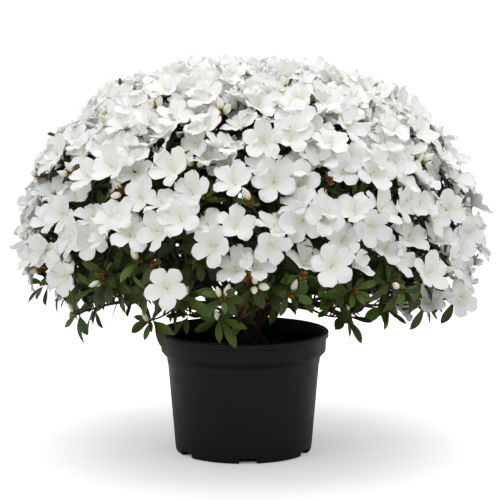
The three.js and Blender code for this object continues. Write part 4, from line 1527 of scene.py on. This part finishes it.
def chipForm(draw):
    # a splinter of bark: a flat lump with uneven corners
    size = np.array([draw(*span) for span in mix["chip"]])
    rows = [[[share * size[i] * draw(0.6, 1) for i, share in enumerate((a, b, c))]
             for b, c in ((-1, -1), (1, -1), (1, 1), (-1, 1))] for a in mix["chipAlong"]]
    return capped(gridForm(np.array(rows), wrap=True), 4)


def makeMix():
    heap, sides = newHeap(), mix["sides"]
    rim = mixRim - 0.0012
    inset = pot["wall"] + mix["inset"]
    foot, floor = pot["baseRadius"] - pot["notchDepth"] - mix["inset"], pot["floor"] + 0.0004
    overNotch = pot["notchHeight"] + mix["inset"]
    reaches = np.linspace(0.0015, 1, mix["rings"]) * rim
    rows = [[(x, y, mixHeight(x, y)) for x, y in circle(r, sides)] for r in reaches]
    # from the rim down inside the wall, and in over the notches to the floor
    lower = [(rim, 0.1515), (wallAt(0.14) - inset, 0.1420), (wallAt(0.09) - inset, 0.09),
             (wallAt(overNotch) - inset, overNotch), (foot, overNotch), (foot, floor), (0.002, floor)]
    rows += [[(x, y, z) for x, y in circle(r, sides)] for r, z in lower]
    addForm(heap, capped(gridForm(np.array(rows)[::-1], wrap=True), sides))
    draw = makeDraws(57)
    chips = [chipForm(draw) for _ in range(mix["chipForms"])]
    for _ in range(mix["chips"]):
        r, t = math.sqrt(draw()) * (rim - 0.006), draw(0, 6.28)
        spot = np.array([r * math.cos(t), r * math.sin(t), 0])
        if np.linalg.norm(spot[:2] - (trunk["footX"], 0)) < trunk["flare"]:
            continue
        spot[2] = mixHeight(spot[0], spot[1]) + 0.0004
        axis = unit(np.array([draw(-0.6, 0.6), draw(-0.6, 0.6), 1]))
        side = anyAround(axis, draw)
        addForm(heap, anyOf(draw, chips), spot, np.array([side, np.cross(axis, side), axis]))
    buildPiece("potting_mix", heap, [mixMaterial()], "potting_mix", ["soil"])


makeMix()


# Floor, light and camera

stage = {"size": 9.0, "colour": (0.62, 0.62, 0.62), "base": 0.85, "seen": 1.05, "glow": 0.10}
tent = {"light": 0.595, "seen": 0.72, "mirrored": 0.17}
lamps = {
    "lampLeft": {"at": (-2.0, -1.6, 1.5), "target": (0, 0, 0.2), "size": (0.8, 1.8), "power": 4.5},
    "lampRight": {"at": (2.1, -1.3, 1.2), "target": (0, 0, 0.2), "size": (0.6, 1.8), "power": 3},
    "overhead": {"at": (0, -0.1, 1.1), "target": (0, 0, 0.3), "size": (1.4, 1.2), "power": 7.2},
}
skylight = {"power": 0.5, "angle": 100, "tilt": (8, -5, 0)}
view = {"at": (0.0095, -2.776, 0.653), "target": (0.0095, 0, 0.296), "field": 14.86, "sensor": 36, "reach": 60}
tone = {"white": 1.3, "points": ((0.21, 0.273), (0.423, 0.55), (0.7, 0.79))}


def aimed(at, target):
    return (Vector(target) - Vector(at)).to_track_quat("-Z", "Y").to_euler()


def makeFloor():
    mesh = bpy.data.meshes.new("floor")
    size = stage["size"]
    corners = [(-size, -size, 0), (size, -size, 0), (size, size, 0), (-size, size, 0)]
    mesh.from_pydata(corners, [], [(0, 1, 2, 3)])
    floor = addObject("floor", mesh)
    material, tree, shader = newMaterial("pale_floor", stage["colour"], 0.8, 0.1)
    # paler to the eye than as a light, so that it runs out to white round the shadow
    seen = addNode(tree, "LightPath").outputs["Is Camera Ray"]
    feed(tree, shader, {
        "Roughness": patches(tree, 6, 0.75, 0.9), "Emission Color": (1, 1, 1, 1),
        "Base Color": addMath(tree, "ADD", addMath(tree, "MULTIPLY", seen, stage["seen"]), stage["base"]),
        "Emission Strength": addMath(tree, "MULTIPLY", seen, stage["glow"]),
    })
    mesh.materials.append(material)


def makeTent():
    # a bright even tent: white to the eye, softer as light, and dim in reflections, so that only the lamps gleam
    world = bpy.data.worlds.new("tent")
    world.use_nodes = True
    bpy.context.scene.world = world
    tree = world.node_tree
    rays = addNode(tree, "LightPath").outputs
    seen = addMath(tree, "MULTIPLY", rays["Is Camera Ray"], tent["seen"])
    mirrored = addMath(tree, "MULTIPLY", rays["Is Glossy Ray"], tent["mirrored"])
    glow = addMath(tree, "ADD", addMath(tree, "ADD", seen, mirrored), tent["light"])
    feed(tree, tree.nodes["Background"], {"Color": (1, 1, 1, 1), "Strength": glow})


def makeLamps():
    for name, lamp in lamps.items():
        data = bpy.data.lights.new(name, "AREA")
        data.shape = "RECTANGLE"
        data.size, data.size_y = lamp["size"]
        data.energy = lamp["power"]
        addObject(name, data, lamp["at"], aimed(lamp["at"], lamp["target"])).visible_camera = False
    data = bpy.data.lights.new("skylight", "SUN")
    data.energy, data.angle = skylight["power"], math.radians(skylight["angle"])
    addObject("skylight", data, rotation=[math.radians(tilt) for tilt in skylight["tilt"]])


def makeCamera():
    camera = addObject("camera", bpy.data.cameras.new("camera"), view["at"], aimed(view["at"], view["target"]))
    camera.data.sensor_width = view["sensor"]
    camera.data.lens = view["sensor"] / 2 / math.tan(math.radians(view["field"] / 2))
    camera.data.clip_end = view["reach"]
    bpy.context.scene.camera = camera


def setTone():
    # the print's tone: straight in the darks, with a soft shoulder up to white
    settings = bpy.context.scene.view_settings
    settings.view_transform = "Standard"
    settings.use_curve_mapping = True
    curves = settings.curve_mapping
    curves.white_level = [tone["white"]] * 3
    for place in tone["points"]:
        curves.curves[3].points.new(*place)
    curves.update()


makeFloor()
makeTent()
makeLamps()
makeCamera()
setTone()
print("floor, lamps and camera placed")
